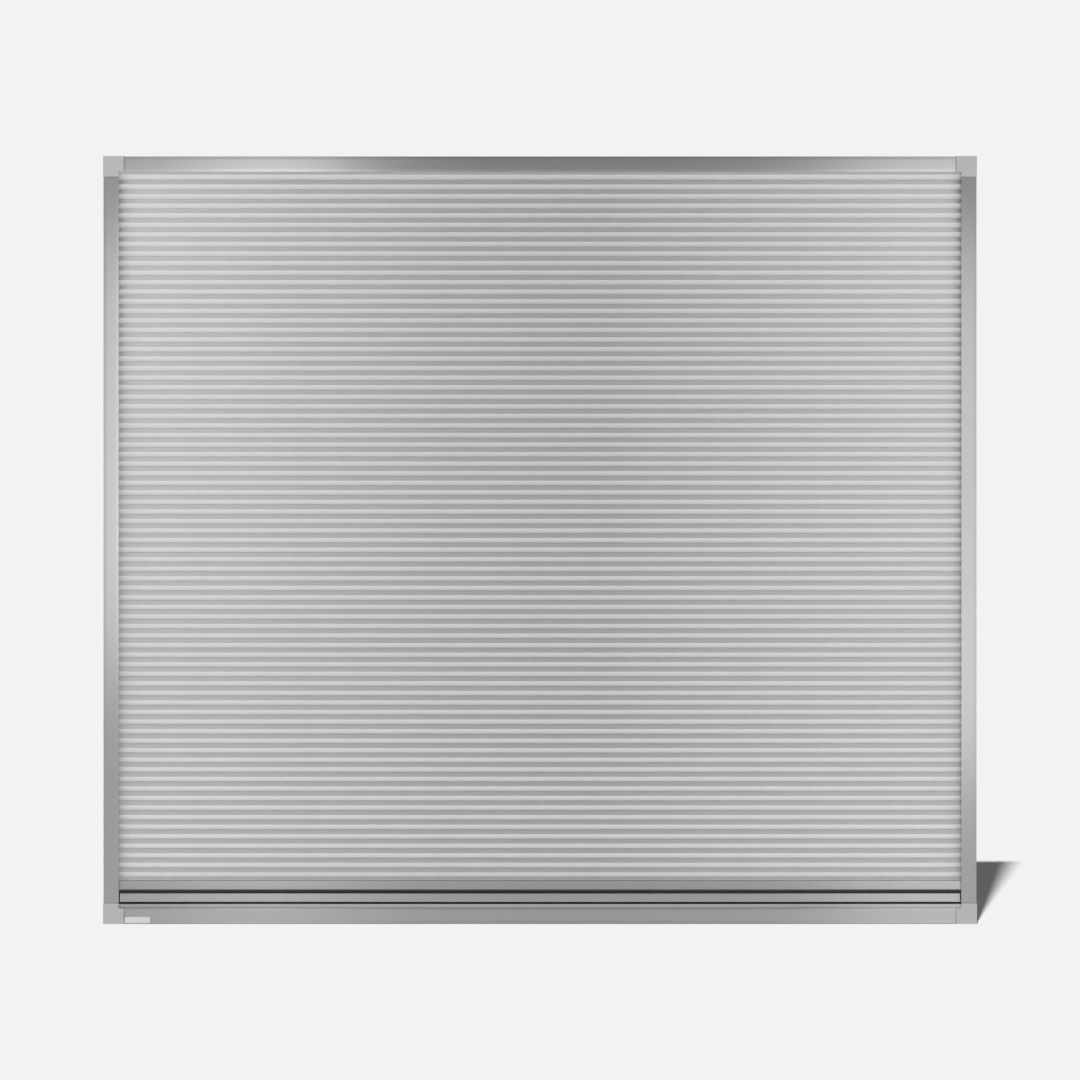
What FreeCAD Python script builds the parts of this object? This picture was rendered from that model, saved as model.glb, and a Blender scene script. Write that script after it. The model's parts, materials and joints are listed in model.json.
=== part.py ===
import FreeCAD, Part
import math
import os
import re

import Sketcher

# Blackout blind: a cordless honeycomb blind that stands in its own aluminium frame.
# X runs to the right, Y to the back and Z up, in millimetres. The origin is the middle of the
# frame's lower edge, halfway through its depth.

# Driving dimensions
SIZES = [
    ("overall_width", 1138, "frame width, over the corner pieces"),
    ("overall_height", 1000, "frame height, over the corner pieces"),
    ("frame_depth", 30, "frame depth, over the corner pieces"),
    ("face_width", 20.4, "face of the frame, from its outer edge to the edge of the lips"),
    ("web_depth", 7, "outer edge of the frame to the floor of its channel"),
    ("profile_wall", 1.3, "wall of the frame profiles"),
    ("corner_reach", 27, "arm of a corner piece"),
    ("corner_step", 0.6, "corner pieces stand this much outside the profiles' edges"),
    ("corner_lift", 0.5, "corner pieces stand this much in front of and behind the profiles"),
    ("corner_round", 1.2, "radius of a corner piece's outer corner"),
    ("key_length", 32, "key of a corner piece inside a profile"),
    ("fit_clearance", 0.1, "clearance of a piece that fits inside another"),
    ("joint_gap", 0.3, "joint between a corner piece and a profile"),
    ("fixing_hole", 4.2, "diameter of the holes for the fixing screws"),
    ("fixing_spacing", 560, "distance between the fixing holes of a side"),
    ("badge_width", 33, "blank plate on the bottom profile"),
    ("badge_height", 8.2, "blank plate on the bottom profile"),
    ("badge_thick", 0.4, "blank plate on the bottom profile"),
    ("badge_rise", 0.5, "blank plate above the lower edge of the bottom profile"),
    ("badge_inset", 0.9, "blank plate beside the corner piece"),
    ("pile_base", 1, "thickness of a pile strip's backing"),
    ("pile_width", 5.2, "width of a pile strip"),
    ("pile_inset", 1, "pile behind the edge of the lip"),
    ("pile_margin", 0.5, "backing past the pile at both edges"),
    ("pile_gap", 0.5, "pile to the fabric's folds"),
    ("pleat_count", 74, "open cells of the fabric"),
    ("pleat_depth", 16, "fabric from its front folds to its rear folds"),
    ("glue_width", 5.4, "depth of the glue line between two cells"),
    ("cloth", 0.3, "thickness of the fabric"),
    ("fabric_side_gap", 6, "side edge of the fabric to the floor of the channel"),
    ("end_rise", 4.4, "last glue line above the bar"),
    ("end_spread", 0.6, "end cell's fold in from the face of the bar"),
    ("rail_depth", 16, "head rail and bar rail, front to back"),
    ("rail_wall", 1, "wall of the head rail and of the bar"),
    ("rail_lip", 0.9, "lips of the rails' strip channel"),
    ("strip_channel", 2.4, "height of the rails' strip channel"),
    ("slot_width", 6.8, "slot of the rails' strip channel"),
    ("rail_end_gap", 5.7, "end of a rail to the floor of the side channel"),
    ("head_height", 9, "height of the head rail"),
    ("bar_height", 12.7, "height of the bar rail"),
    ("glue_sink", 0.6, "first glue line above the lower face of the head rail"),
    ("strip_thick", 1, "strip inside an end cell"),
    ("strip_gap", 0.3, "clearance of the fabric in the strip channel and of the strip in the fabric"),
    ("seat_gap", 0.3, "running gap under the bar at rest, and at the ends of the pile strips"),
    ("sill_rise", 5.5, "sill strip above the lip of the bottom profile"),
    ("sill_wall", 1.2, "wall of the sill strip"),
    ("seal_height", 2.6, "rubber lip under the grip"),
    ("seal_lead", 3, "rubber lip in front of the grip's box"),
    ("seal_stem", 2.4, "stem of the rubber lip"),
    ("seal_head", 4, "head of the rubber lip inside the grip"),
    ("seal_gap", 0.1, "clearance of the rubber lip's stem in its slot"),
    ("grip_height", 10.1, "face of the grip"),
    ("groove_mouth", 5.3, "opening of the finger groove"),
    ("grip_wall", 1.3, "wall of the grip"),
    ("grip_sink", 0.2, "face of the grip behind the face of the frame"),
    ("groove_depth", 10.4, "finger groove behind the grip's face wall"),
    ("grip_end_gap", 1.8, "end of the grip to the edge of the side lips"),
    ("grip_cap", 1.5, "thickness of a grip cap"),
    ("cap_tongue", 6, "tongue of a grip cap"),
    ("inlay_thick", 0.5, "dark strip in the finger groove"),
    ("port_wall", 1.4, "pocket beside the screw port in the grip"),
    ("port_height", 3.6, "height of the screw port in the grip"),
    ("guide_gap", 0.8, "gliders and head caps to the floor of the side channel"),
    ("shoe_gap", 0.4, "gliders and head caps to the walls of the side channel"),
    ("spigot_length", 18, "spigot of a glider or head cap inside a rail"),
    ("spigot_gap", 0.15, "clearance round a spigot"),
    ("cord_diameter", 1, "tension cord"),
    ("cord_room", 0.6, "half width of a cord's slot"),
    ("cord_side_gap", 4, "cord's upright run to the floor of the side channel"),
    ("cord_offset", 4.5, "cord's upright run in front of or behind the middle"),
    ("cord_turn", 4, "radius of a cord where it turns"),
    ("cord_low", 2.3, "lower cross run above the floor of the bar's chamber"),
    ("cord_step", 2.4, "height between the two cross runs"),
    ("anchor_height", 9, "cord anchor"),
    ("anchor_depth", 15, "cord anchor, front to back"),
    ("anchor_gap", 0.3, "cord anchor to the floor of the side channel and to the sill strip"),
    ("cord_sink", 5, "cord inside its anchor"),
    ("spring_diameter", 3.5, "outside of a tension spring"),
    ("spring_wire", 0.45, "wire of a tension spring"),
    ("spring_pitch", 3.2, "spacing of a spring's curls"),
    ("spring_curls", 24, "curls of a spring"),
    ("spring_inset", 36, "outer end of a spring to the end of the head rail"),
    ("plug_length", 9, "plug inside the end of a spring"),
    ("plug_flange", 1.4, "flange of a spring's plug"),
    ("plug_gap", 0.1, "clearance of a plug in its spring"),
    ("block_length", 8, "spring anchor"),
    ("clip_count", 4, "clips that hold the head rail"),
    ("clip_inset", 136, "outer clips in from the ends of the head rail"),
    ("clip_width", 22, "clip, along the head rail"),
    ("clip_plate", 2, "plate of a clip"),
    ("clip_leg", 1.4, "leg and toe of a clip"),
    ("clip_grip", 1.6, "toe of a clip under the head rail"),
    ("screw_shank", 2.4, "diameter of a screw's shank"),
    ("screw_head", 4.4, "diameter of a screw's head"),
    ("screw_sink", 1.5, "height of a screw's head"),
    ("screw_length", 11, "length of a glider screw"),
    ("screw_short", 6, "length of a clip screw and of an anchor screw"),
    ("screw_gap", 0.1, "clearance round a screw"),
]

# Places that follow from the driving dimensions
PLACES = {
    "half_width": "overall_width / 2",
    "corner_face": "frame_depth / 2",
    "profile_face": "corner_face - corner_lift",
    "channel_half": "profile_face - profile_wall",
    "lip_edge": "half_width - face_width",
    "side_web": "half_width - web_depth",
    "top_web": "overall_height - web_depth",
    "profile_cut": "corner_reach + joint_gap",
    "rail_half": "rail_depth / 2",
    "rail_inside": "rail_half - rail_wall",
    "rail_end": "side_web - rail_end_gap",
    "fabric_end": "side_web - fabric_side_gap",
    "guide_face": "side_web - guide_gap",
    "shoe_half": "channel_half - shoe_gap",
    "sill_top": "face_width + sill_rise",
    "seal_bottom": "sill_top + seat_gap",
    "grip_bottom": "seal_bottom + seal_height",
    "grip_floor": "grip_bottom + grip_wall",
    "grip_top": "grip_bottom + grip_height",
    "bar_bottom": "grip_top + groove_mouth",
    "box_top": "bar_bottom - grip_wall",
    "bar_top": "bar_bottom + bar_height",
    "last_glue": "bar_top + end_rise",
    "head_top": "top_web - clip_plate",
    "head_bottom": "head_top - head_height",
    "first_glue": "head_bottom + glue_sink",
    "pitch": "(first_glue - last_glue) / pleat_count",
    "grip_face": "profile_face - grip_sink",
    "grip_back": "grip_face - grip_wall",
    "groove_back": "grip_back - groove_depth",
    "box_front": "groove_back - grip_wall",
    "grip_end": "lip_edge - grip_end_gap",
    "grip_neck": "rail_half + pile_gap / 2",
    "extrusion_end": "grip_end - grip_cap",
    "box_middle": "(rail_inside - box_front) / 2",
    "port_middle": "box_top - port_height / 2",
    "bar_chamber": "bar_bottom + rail_wall",
    "bar_strip_floor": "bar_top - rail_lip - strip_channel",
    "head_strip_roof": "head_bottom + rail_lip + strip_channel",
    "head_chamber": "head_strip_roof + rail_wall",
    "head_roof": "head_top - rail_wall",
    "spring_height": "(head_chamber + head_roof) / 2",
    "cord_line": "side_web - cord_side_gap",
    "cord_left_height": "bar_chamber + cord_low",
    "cord_right_height": "cord_left_height + cord_step",
    "spring_end": "rail_end - spring_inset",
    "coil_radius": "(spring_diameter - spring_wire) / 2",
    "plug_radius": "coil_radius - spring_wire / 2 - plug_gap",
    "spring_start": "spring_end - spring_curls * spring_pitch",
    "pile_edge": "lip_edge + pile_inset",
    "clip_spacing": "2 * (rail_end - clip_inset) / (clip_count - 1)",
    "pile_tip": "rail_half + pile_gap",
    "anchor_start": "rail_end + anchor_gap",
    "anchor_end": "side_web - anchor_gap",
    "anchor_top": "web_depth + anchor_height",
    "anchor_middle": "(anchor_start + anchor_end) / 2",
    "end_fold": "rail_half - end_spread",
}

doc = FreeCAD.newDocument("blackout_blind")
sheet = doc.addObject("Spreadsheet::Sheet", "Sizes")
for row, (alias, size, note) in enumerate(SIZES, start=1):
    sheet.set(f"A{row}", note)
    sheet.set(f"B{row}", str(size))
    sheet.setAlias(f"B{row}", alias)
doc.recompute()

nodes = []


def bound(text):
    """Writes a size or place in terms of the sheet's cells."""
    def cell(word):
        place = PLACES.get(word[0])
        return f"({bound(place)})" if place else f"Sizes.{word[0]}"
    return re.sub(r"[a-z]\w+", cell, text)


def size(text):
    """The number that a size or place stands for now."""
    return float(sheet.evalExpression(bound(text)))


def bind(item, **sizes):
    """Ties an object's properties to the sheet."""
    for name, text in sizes.items():
        item.setExpression(name, bound(text))


def place(item, x="0", y="0", z="0"):
    """Ties an object's place to the sheet."""
    for axis, text in zip("xyz", (x, y, z)):
        item.setExpression(f".Placement.Base.{axis}", bound(text))


def node(name, item):
    """Names a finished sub-part."""
    item.Label = name
    nodes.append(item)
    return item


def span(side, near, far):
    """The X range between two distances from the middle, on one side of the blind."""
    return (f"-({far})", f"-({near})") if side == "left" else (near, far)


def off(side, distance):
    """The X place at a distance from the middle, on one side of the blind."""
    return f"-({distance})" if side == "left" else distance


def rise(level, low, high):
    """The Z range between two distances from the lower or the upper edge of the frame."""
    if level == "bottom":
        return low, high
    return f"overall_height - ({high})", f"overall_height - ({low})"


def even(half):
    """The range to both sides of the middle."""
    return f"-({half})", half


# Building blocks

def box(name, x, y, z):
    """A box between three pairs of places."""
    block = doc.addObject("Part::Box", name)
    bind(block, Length=f"{x[1]} - ({x[0]})", Width=f"{y[1]} - ({y[0]})", Height=f"{z[1]} - ({z[0]})")
    place(block, x[0], y[0], z[0])
    return block


def cylinder(name, axis, radius, length, x="0", y="0", z="0"):
    """A cylinder from a point along one axis."""
    turned = {
        "x": FreeCAD.Rotation(FreeCAD.Vector(0, 1, 0), 90),
        "y": FreeCAD.Rotation(FreeCAD.Vector(1, 0, 0), -90),
        "z": FreeCAD.Rotation(),
        "-x": FreeCAD.Rotation(FreeCAD.Vector(0, 1, 0), -90),
        "-z": FreeCAD.Rotation(FreeCAD.Vector(1, 0, 0), 180),
    }
    rod = doc.addObject("Part::Cylinder", name)
    rod.Placement.Rotation = turned[axis]
    bind(rod, Radius=radius, Height=length)
    place(rod, x, y, z)
    return rod


def cone(name, axis, wide, narrow, length, x="0", y="0", z="0"):
    """A cone from its wide end along one axis."""
    head = doc.addObject("Part::Cone", name)
    turned = {
        "z": FreeCAD.Rotation(),
        "-x": FreeCAD.Rotation(FreeCAD.Vector(0, 1, 0), -90),
        "x": FreeCAD.Rotation(FreeCAD.Vector(0, 1, 0), 90),
        "-z": FreeCAD.Rotation(FreeCAD.Vector(1, 0, 0), 180),
    }
    head.Placement.Rotation = turned[axis]
    bind(head, Radius1=wide, Radius2=narrow, Height=length)
    place(head, x, y, z)
    return head


def fused(name, *solids):
    """One solid from several that meet."""
    joined = doc.addObject("Part::MultiFuse", name)
    joined.Shapes = list(solids)
    joined.Refine = True
    return joined


def cut(name, base, tool):
    """A solid less another."""
    rest = doc.addObject("Part::Cut", name)
    rest.Base = base
    rest.Tool = tool
    return rest


def grouped(name, solids):
    """Separate solids of one kind, kept together."""
    group = doc.addObject("Part::Compound", name)
    group.Links = list(solids)
    return group


def outline(sketch, corners):
    """Draws one closed outline whose corners are pairs of places."""
    first = sketch.GeometryCount
    points = [FreeCAD.Vector(size(x), size(y), 0) for x, y in corners]
    for start, end in zip(points, points[1:] + points[:1]):
        sketch.addGeometry(Part.LineSegment(start, end), False)
    for index, (x, y) in enumerate(corners):
        line = first + index
        following = first + (index + 1) % len(corners)
        sketch.addConstraint(Sketcher.Constraint("Coincident", line, 2, following, 1))
        for kind, text, number in (("DistanceX", x, points[index].x), ("DistanceY", y, points[index].y)):
            constraint = sketch.addConstraint(Sketcher.Constraint(kind, -1, 1, line, 1, number))
            sketch.setExpression(f"Constraints[{constraint}]", bound(text))


def extrusion(name, plane, outlines, start, length):
    """A body drawn as closed outlines on an origin plane and padded along its normal."""
    body = doc.addObject("PartDesign::Body", name)
    sketch = body.newObject("Sketcher::SketchObject", f"{name}_section")
    support = [item for item in body.Origin.OriginFeatures if item.Role == plane][0]
    sketch.AttachmentSupport = [(support, "")]
    sketch.MapMode = "FlatFace"
    sketch.setExpression("AttachmentOffset.Base.z", bound(start))
    for corners in outlines:
        outline(sketch, corners)
    pad = body.newObject("PartDesign::Pad", f"{name}_pad")
    pad.Profile = sketch
    bind(pad, Length=length)
    return body


def rectangle(x, y):
    """The corners of a rectangle between two pairs of places."""
    return [(x[0], y[0]), (x[1], y[0]), (x[1], y[1]), (x[0], y[1])]


def screw(name, axis, length, x, y, z):
    """A countersunk screw from the face of its head along one axis, with a hexagon socket."""
    head = cone(f"{name}_head", axis, "screw_head / 2", "screw_shank / 2", "screw_sink", x, y, z)
    shank = cylinder(f"{name}_shank", axis, "screw_shank / 2", length, x, y, z)
    socket = doc.addObject("Part::Prism", f"{name}_socket")
    socket.Polygon = 6
    socket.Placement.Rotation = head.Placement.Rotation
    bind(socket, Circumradius="screw_shank / 3", Height="screw_sink")
    place(socket, x, y, z)
    return cut(name, fused(f"{name}_blank", head, shank), socket)


def screw_hole(name, axis, length, x, y, z):
    """The hole that takes such a screw."""
    head = cone(
        f"{name}_head", axis, "screw_head / 2 + screw_gap", "screw_shank / 2 + screw_gap",
        "screw_sink", x, y, z)
    shank = cylinder(f"{name}_shank", axis, "screw_shank / 2 + screw_gap", length, x, y, z)
    return fused(name, head, shank)


# Frame profiles

def channel(at):
    """The outlines of a frame profile: a U with lips, and the hollow in its web.

    at turns a distance in from the frame's outer edge and a place in Y into a sketch point.
    """
    edge, lip, web = "corner_step", "face_width", "web_depth"
    section = [
        (edge, "-profile_face"), (lip, "-profile_face"), (lip, "-channel_half"), (web, "-channel_half"),
        (web, "channel_half"), (lip, "channel_half"), (lip, "profile_face"), (edge, "profile_face"),
    ]
    hollow = rectangle(("corner_step + profile_wall", "web_depth - profile_wall"), even("channel_half"))
    return [[at(*corner) for corner in shape] for shape in (section, hollow)]


def side_profile(side):
    def corner(inward, y):
        return off(side, f"half_width - ({inward})"), y
    length = "overall_height - 2 * profile_cut"
    body = extrusion(f"side_{side}", "XY_Plane", channel(corner), "profile_cut", length)
    holes = []
    for level, sign in (("low", "-"), ("high", "+")):
        height = f"overall_height / 2 {sign} fixing_spacing / 2"
        start = span(side, "side_web", "half_width")[0]
        holes.append(cylinder(
            f"fixing_{side}_{level}", "x", "fixing_hole / 2", "web_depth", start, "0", height))
    node(f"profile_{side}", cut(f"profile_{side}", body, fused(f"fixings_{side}", *holes)))


def level_profile(level):
    def corner(inward, y):
        return y, rise(level, inward, inward)[0]
    start = "-(half_width - profile_cut)"
    body = extrusion(f"level_{level}", "YZ_Plane", channel(corner), start, "2 * (half_width - profile_cut)")
    if level == "bottom":
        node("profile_bottom", body)
        return
    holes = [
        cylinder(f"clip_hole_{index}", "z", "screw_shank / 2 + screw_gap", "2 * profile_wall", x, "0",
                 "top_web - profile_wall / 2")
        for index, x in enumerate(clip_places())
    ]
    node("profile_top", cut("profile_top", body, fused("clip_holes", *holes)))


def clip_places():
    """The X places of the clips, evenly spaced about the middle."""
    count = int(size("clip_count"))
    return [f"({index} - (clip_count - 1) / 2) * clip_spacing" for index in range(count)]


def corner_piece(side, level):
    name = f"corner_{level}_{side}"

    def at(inward, upward):
        return off(side, f"half_width - ({inward})"), rise(level, upward, upward)[0]

    def block(part, inward, upward, y):
        x = span(side, f"half_width - ({inward[1]})", f"half_width - ({inward[0]})")
        return box(f"{name}_{part}", x, even(y), rise(level, *upward))

    corners = [
        at("0", "0"), at("corner_reach", "0"), at("corner_reach", "face_width"),
        at("face_width", "face_width"), at("face_width", "corner_reach"), at("0", "corner_reach"),
    ]
    body = extrusion(f"{name}_body", "XZ_Plane", [corners], "-corner_face", "frame_depth")
    doc.recompute()
    x, z = size(corners[0][0]), size(corners[0][1])
    pad = body.Tip
    edges = [
        f"Edge{index}" for index, edge in enumerate(pad.Shape.Edges, start=1)
        if all(abs(end.X - x) + abs(end.Z - z) < 0.01 for end in edge.Vertexes)
    ]
    rounded = body.newObject("PartDesign::Fillet", f"{name}_round")
    rounded.Base = (pad, edges)
    bind(rounded, Radius="corner_round")
    hollow = ("web_depth", "corner_reach + profile_wall")
    cavity = block("cavity", hollow, hollow, "channel_half")
    key = ("corner_step + profile_wall + fit_clearance", "web_depth - profile_wall - fit_clearance")
    reach = ("corner_reach - profile_wall", "corner_reach + key_length")
    upright_key = block("upright_key", key, reach, "channel_half - fit_clearance")
    level_key = block("level_key", reach, key, "channel_half - fit_clearance")
    shell = cut(f"{name}_shell", body, cavity)
    piece = fused(f"{name}_keyed", shell, upright_key, level_key)
    if level == "bottom":
        hole = cylinder(
            f"{name}_hole", "-z", "screw_shank / 2 + screw_gap", "screw_short",
            off(side, "anchor_middle"), "cord_offset", "web_depth")
        piece = cut(f"{name}_drilled", piece, hole)
    node(name, piece)


def badge_plate():
    start = "-(half_width - profile_cut - badge_inset)"
    x = (start, f"{start} + badge_width")
    y = ("-(profile_face + badge_thick)", "-profile_face")
    z = ("corner_step + badge_rise", "corner_step + badge_rise + badge_height")
    node("badge_plate", box("badge_plate", x, y, z))


def sill_strip():
    foot, wall = "channel_half - fit_clearance", "rail_half - sill_wall"
    right = [
        (foot, "web_depth"), (foot, "web_depth + sill_wall"), ("rail_half", "web_depth + sill_wall"),
        ("rail_half", "sill_top"),
    ]
    inside = [(wall, "sill_top - sill_wall"), (wall, "web_depth")]
    section = right + [(f"-({y})", z) for y, z in reversed(right)]
    section += [(f"-({y})", z) for y, z in reversed(inside)] + inside
    node("sill_strip", extrusion("sill_strip", "YZ_Plane", [section], "-rail_end", "2 * rail_end"))


def pile_strip(side, face):
    """A pile weatherstrip on the inner face of a side lip: its backing and its pile."""
    name = f"pile_{face}_{side}"
    backing, inner = ("channel_half - pile_base", "channel_half"), ("pile_tip", "channel_half - pile_base")
    if face == "front":
        backing, inner = [tuple(f"-({y})" for y in reversed(pair)) for pair in (backing, inner)]
    z = ("web_depth + sill_wall + seat_gap", "top_web - seat_gap")
    back = span(side, "pile_edge - pile_margin", "pile_edge + pile_width + pile_margin")
    hair = span(side, "pile_edge", "pile_edge + pile_width")
    base = box(f"{name}_base", back, backing, z)
    pile = box(f"{name}_hair", hair, inner, z)
    node(name, fused(name, base, pile))


# Fabric

def prism(outer, holes, half_length):
    """A straight solid along X from outlines of (y, z) points."""
    def wire(points):
        closed = [FreeCAD.Vector(-half_length, y, z) for y, z in points]
        return Part.makePolygon(closed + closed[:1])
    face = Part.makeFace([wire(outer)] + [wire(points) for points in holes], "Part::FaceMakerBullseye")
    return face.extrude(FreeCAD.Vector(2 * half_length, 0, 0))


def mirrored(points):
    """An outline from its rear half: the same points again, at the front."""
    return points + [(-y, z) for y, z in reversed(points)]


def fabric():
    """The honeycomb: open cells between glue lines, and a flattened cell at either end."""
    cloth, glue, fold = size("cloth"), size("glue_width / 2"), size("pleat_depth / 2")
    pitch, top, bottom = size("pitch"), size("first_glue"), size("last_glue")
    count = int(size("pleat_count"))
    slope = (fold - glue) / (pitch / 2)
    inset = cloth * math.hypot(1, slope)
    glue_inside = glue - inset + slope * cloth
    end_fold, slot = size("end_fold"), size("slot_width / 2 - strip_gap")
    end_half = size("rail_inside - strip_gap")
    head_low = size("head_bottom + rail_lip + strip_gap")
    head_high = size("head_strip_roof - strip_gap")
    bar_low = size("bar_strip_floor + strip_gap")
    bar_high = size("bar_top - rail_lip - strip_gap")
    bar_face = size("bar_top + strip_gap")
    rear = [(end_half, head_high), (end_half, head_low), (glue, head_low), (glue, top)]
    cells = []
    for cell in range(count):
        high = top - cell * pitch
        low = high - pitch
        rear += [(fold, high - pitch / 2), (glue, low)]
        cells.append(mirrored([
            (glue_inside, high - cloth), (fold - inset, high - pitch / 2), (glue_inside, low + cloth),
        ]))
    rear += [(end_fold, bar_face + cloth), (end_fold, bar_face), (slot, bar_face), (slot, bar_high)]
    rear += [(end_half, bar_high), (end_half, bar_low)]
    head_cell = mirrored([(end_half - cloth, head_high - cloth), (end_half - cloth, head_low + cloth)])
    bar_cell = mirrored([
        (glue_inside, bottom - cloth), (end_fold - inset, bar_face + cloth), (slot - cloth, bar_face + cloth),
        (slot - cloth, bar_high - cloth), (end_half - cloth, bar_high - cloth),
        (end_half - cloth, bar_low + cloth),
    ])
    cloth_piece = doc.addObject("Part::Feature", "fabric")
    cloth_piece.Shape = prism(mirrored(rear), [head_cell, bar_cell] + cells, size("fabric_end"))
    node("fabric", cloth_piece)


def strip(name, roof, sense):
    """The stiff strip inside an end cell, from the closed side of its channel."""
    inset = f"{sense} (2 * strip_gap + cloth / 2)"
    ends = [f"{roof} {inset}", f"{roof} {inset} {sense} strip_thick"]
    z = tuple(reversed(ends)) if sense == "-" else tuple(ends)
    half = "rail_inside - 2 * strip_gap - cloth"
    node(name, box(name, even("fabric_end - strip_thick"), even(half), z))


# Head rail and bar rail

def rail(name, closed, opened, sense):
    """A rail along X: a box with a chamber and, at its open face, a lipped channel for a strip."""
    def up(distance):
        return f"{opened} {sense} ({distance})"
    rear = [
        ("rail_half", closed), ("rail_half", opened), ("slot_width / 2", opened),
        ("slot_width / 2", up("rail_lip")), ("rail_inside", up("rail_lip")),
        ("rail_inside", up("rail_lip + strip_channel")),
    ]
    section = rear + [(f"-({y})", z) for y, z in reversed(rear)]
    inward = "-" if sense == "+" else "+"
    chamber = (f"{closed} {inward} rail_wall", up("rail_lip + strip_channel + rail_wall"))
    outlines = [section, rectangle(even("rail_inside"), chamber)]
    node(name, extrusion(name, "YZ_Plane", outlines, "-rail_end", "2 * rail_end"))


def handle_rail():
    """The grip's box under the bar rail, with the screw port and the slot for the rubber lip."""
    section = [
        ("-groove_back", "grip_bottom"), ("-groove_back", "bar_bottom"), ("rail_half", "bar_bottom"),
        ("rail_half", "grip_bottom"), ("box_middle + seal_stem / 2 + seal_gap", "grip_bottom"),
        ("box_middle + seal_stem / 2 + seal_gap", "grip_floor"), ("rail_inside", "grip_floor"),
        ("rail_inside", "box_top - port_height"), ("-box_front", "box_top - port_height"),
        ("-box_front", "grip_floor"), ("box_middle - seal_stem / 2 - seal_gap", "grip_floor"),
        ("box_middle - seal_stem / 2 - seal_gap", "grip_bottom"),
    ]
    high = ("box_top - port_height + grip_wall", "box_top")
    pockets = [
        rectangle(("-box_front", "port_wall - box_front"), high),
        rectangle(("rail_inside - port_wall", "rail_inside"), high),
    ]
    body = extrusion("handle", "YZ_Plane", [section] + pockets, "-rail_end", "2 * rail_end")
    ports = []
    for side in ("left", "right"):
        start = span(side, "rail_end - spigot_length", "rail_end + grip_wall")[0]
        ports.append(cylinder(
            f"port_{side}", "x", "screw_shank / 2 + screw_gap / 2", "spigot_length + grip_wall", start,
            "box_middle", "port_middle"))
    node("handle_rail", cut("handle_rail", body, fused("screw_ports", *ports)))


def grip_shelf():
    """The floor of the finger groove: full length over the fabric's depth, shorter between the lips."""
    z = ("grip_bottom", "grip_floor")
    rear = box("grip_shelf_rear", even("rail_end"), ("-grip_neck", "-groove_back"), z)
    front = box("grip_shelf_front", even("extrusion_end"), ("-grip_back", "-grip_neck"), z)
    node("grip_shelf", fused("grip_shelf", rear, front))


def grip_face():
    """The face wall in front of the finger groove."""
    node("grip_face", box("grip_face", even("extrusion_end"), ("-grip_face", "-grip_back"),
                          ("grip_bottom", "grip_top")))


def groove_inlay():
    y = ("-(groove_back + inlay_thick)", "-groove_back")
    node("groove_inlay", box("groove_inlay", even("extrusion_end"), y, ("grip_floor", "bar_bottom")))


def grip_cap(side):
    name = f"grip_cap_{side}"
    cheek = box(f"{name}_cheek", span(side, "extrusion_end", "grip_end"),
                ("-grip_face", "-grip_neck"), ("grip_bottom", "grip_top"))
    tongue = box(f"{name}_tongue", span(side, "extrusion_end - cap_tongue", "grip_end"),
                 ("-(grip_back - fit_clearance)", "-grip_neck"),
                 ("grip_floor", "grip_floor + 2 * grip_wall"))
    node(name, fused(name, cheek, tongue))


def bar_seal():
    """The rubber lip: a stem through the grip's slot with a head inside its box."""
    stem, head = "seal_stem / 2", "seal_head / 2"
    section = [
        ("-(box_front + seal_lead)", "seal_bottom"), ("rail_half", "seal_bottom"),
        ("rail_half", "grip_bottom"), (f"box_middle + {stem}", "grip_bottom"),
        (f"box_middle + {stem}", "grip_floor"), (f"box_middle + {head}", "grip_floor"),
        (f"box_middle + {head}", "grip_floor + grip_wall"),
        (f"box_middle - {head}", "grip_floor + grip_wall"),
        (f"box_middle - {head}", "grip_floor"), (f"box_middle - {stem}", "grip_floor"),
        (f"box_middle - {stem}", "grip_bottom"), ("-(box_front + seal_lead)", "grip_bottom"),
    ]
    node("bar_seal", extrusion("bar_seal", "YZ_Plane", [section], "-rail_end", "2 * rail_end"))


# Gliders and head caps

def cord_slot(name, side, y, turn, sense):
    """The slot for a cord that comes in level and turns down or up round a guide.

    sense is - for a cord that turns down and + for one that turns up.
    """
    def upright(near, far):
        return (far, near) if sense == "-" else (near, far)
    centre, beyond = f"{turn} {sense} cord_turn", f"{turn} {sense} half_width"
    behind = f"{turn} {'+' if sense == '-' else '-'} cord_room"
    inner = "rail_end - guide_gap"
    slot_y = (f"{y} - cord_room", f"{y} + cord_room")
    slot = box(f"{name}_slot", span(side, inner, "half_width"), slot_y, upright(behind, beyond))
    guide = box(f"{name}_guide", span(side, inner, "cord_line - cord_room"), slot_y, upright(centre, beyond))
    turned = cylinder(f"{name}_turn", "y", "cord_turn - cord_room", "2 * cord_room",
                      off(side, "cord_line - cord_turn"), slot_y[0], centre)
    return cut(name, slot, fused(f"{name}_former", guide, turned))


def turn_height(side):
    """The height of the cross run that starts at the bottom of a side."""
    return f"cord_{side}_height"


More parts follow.
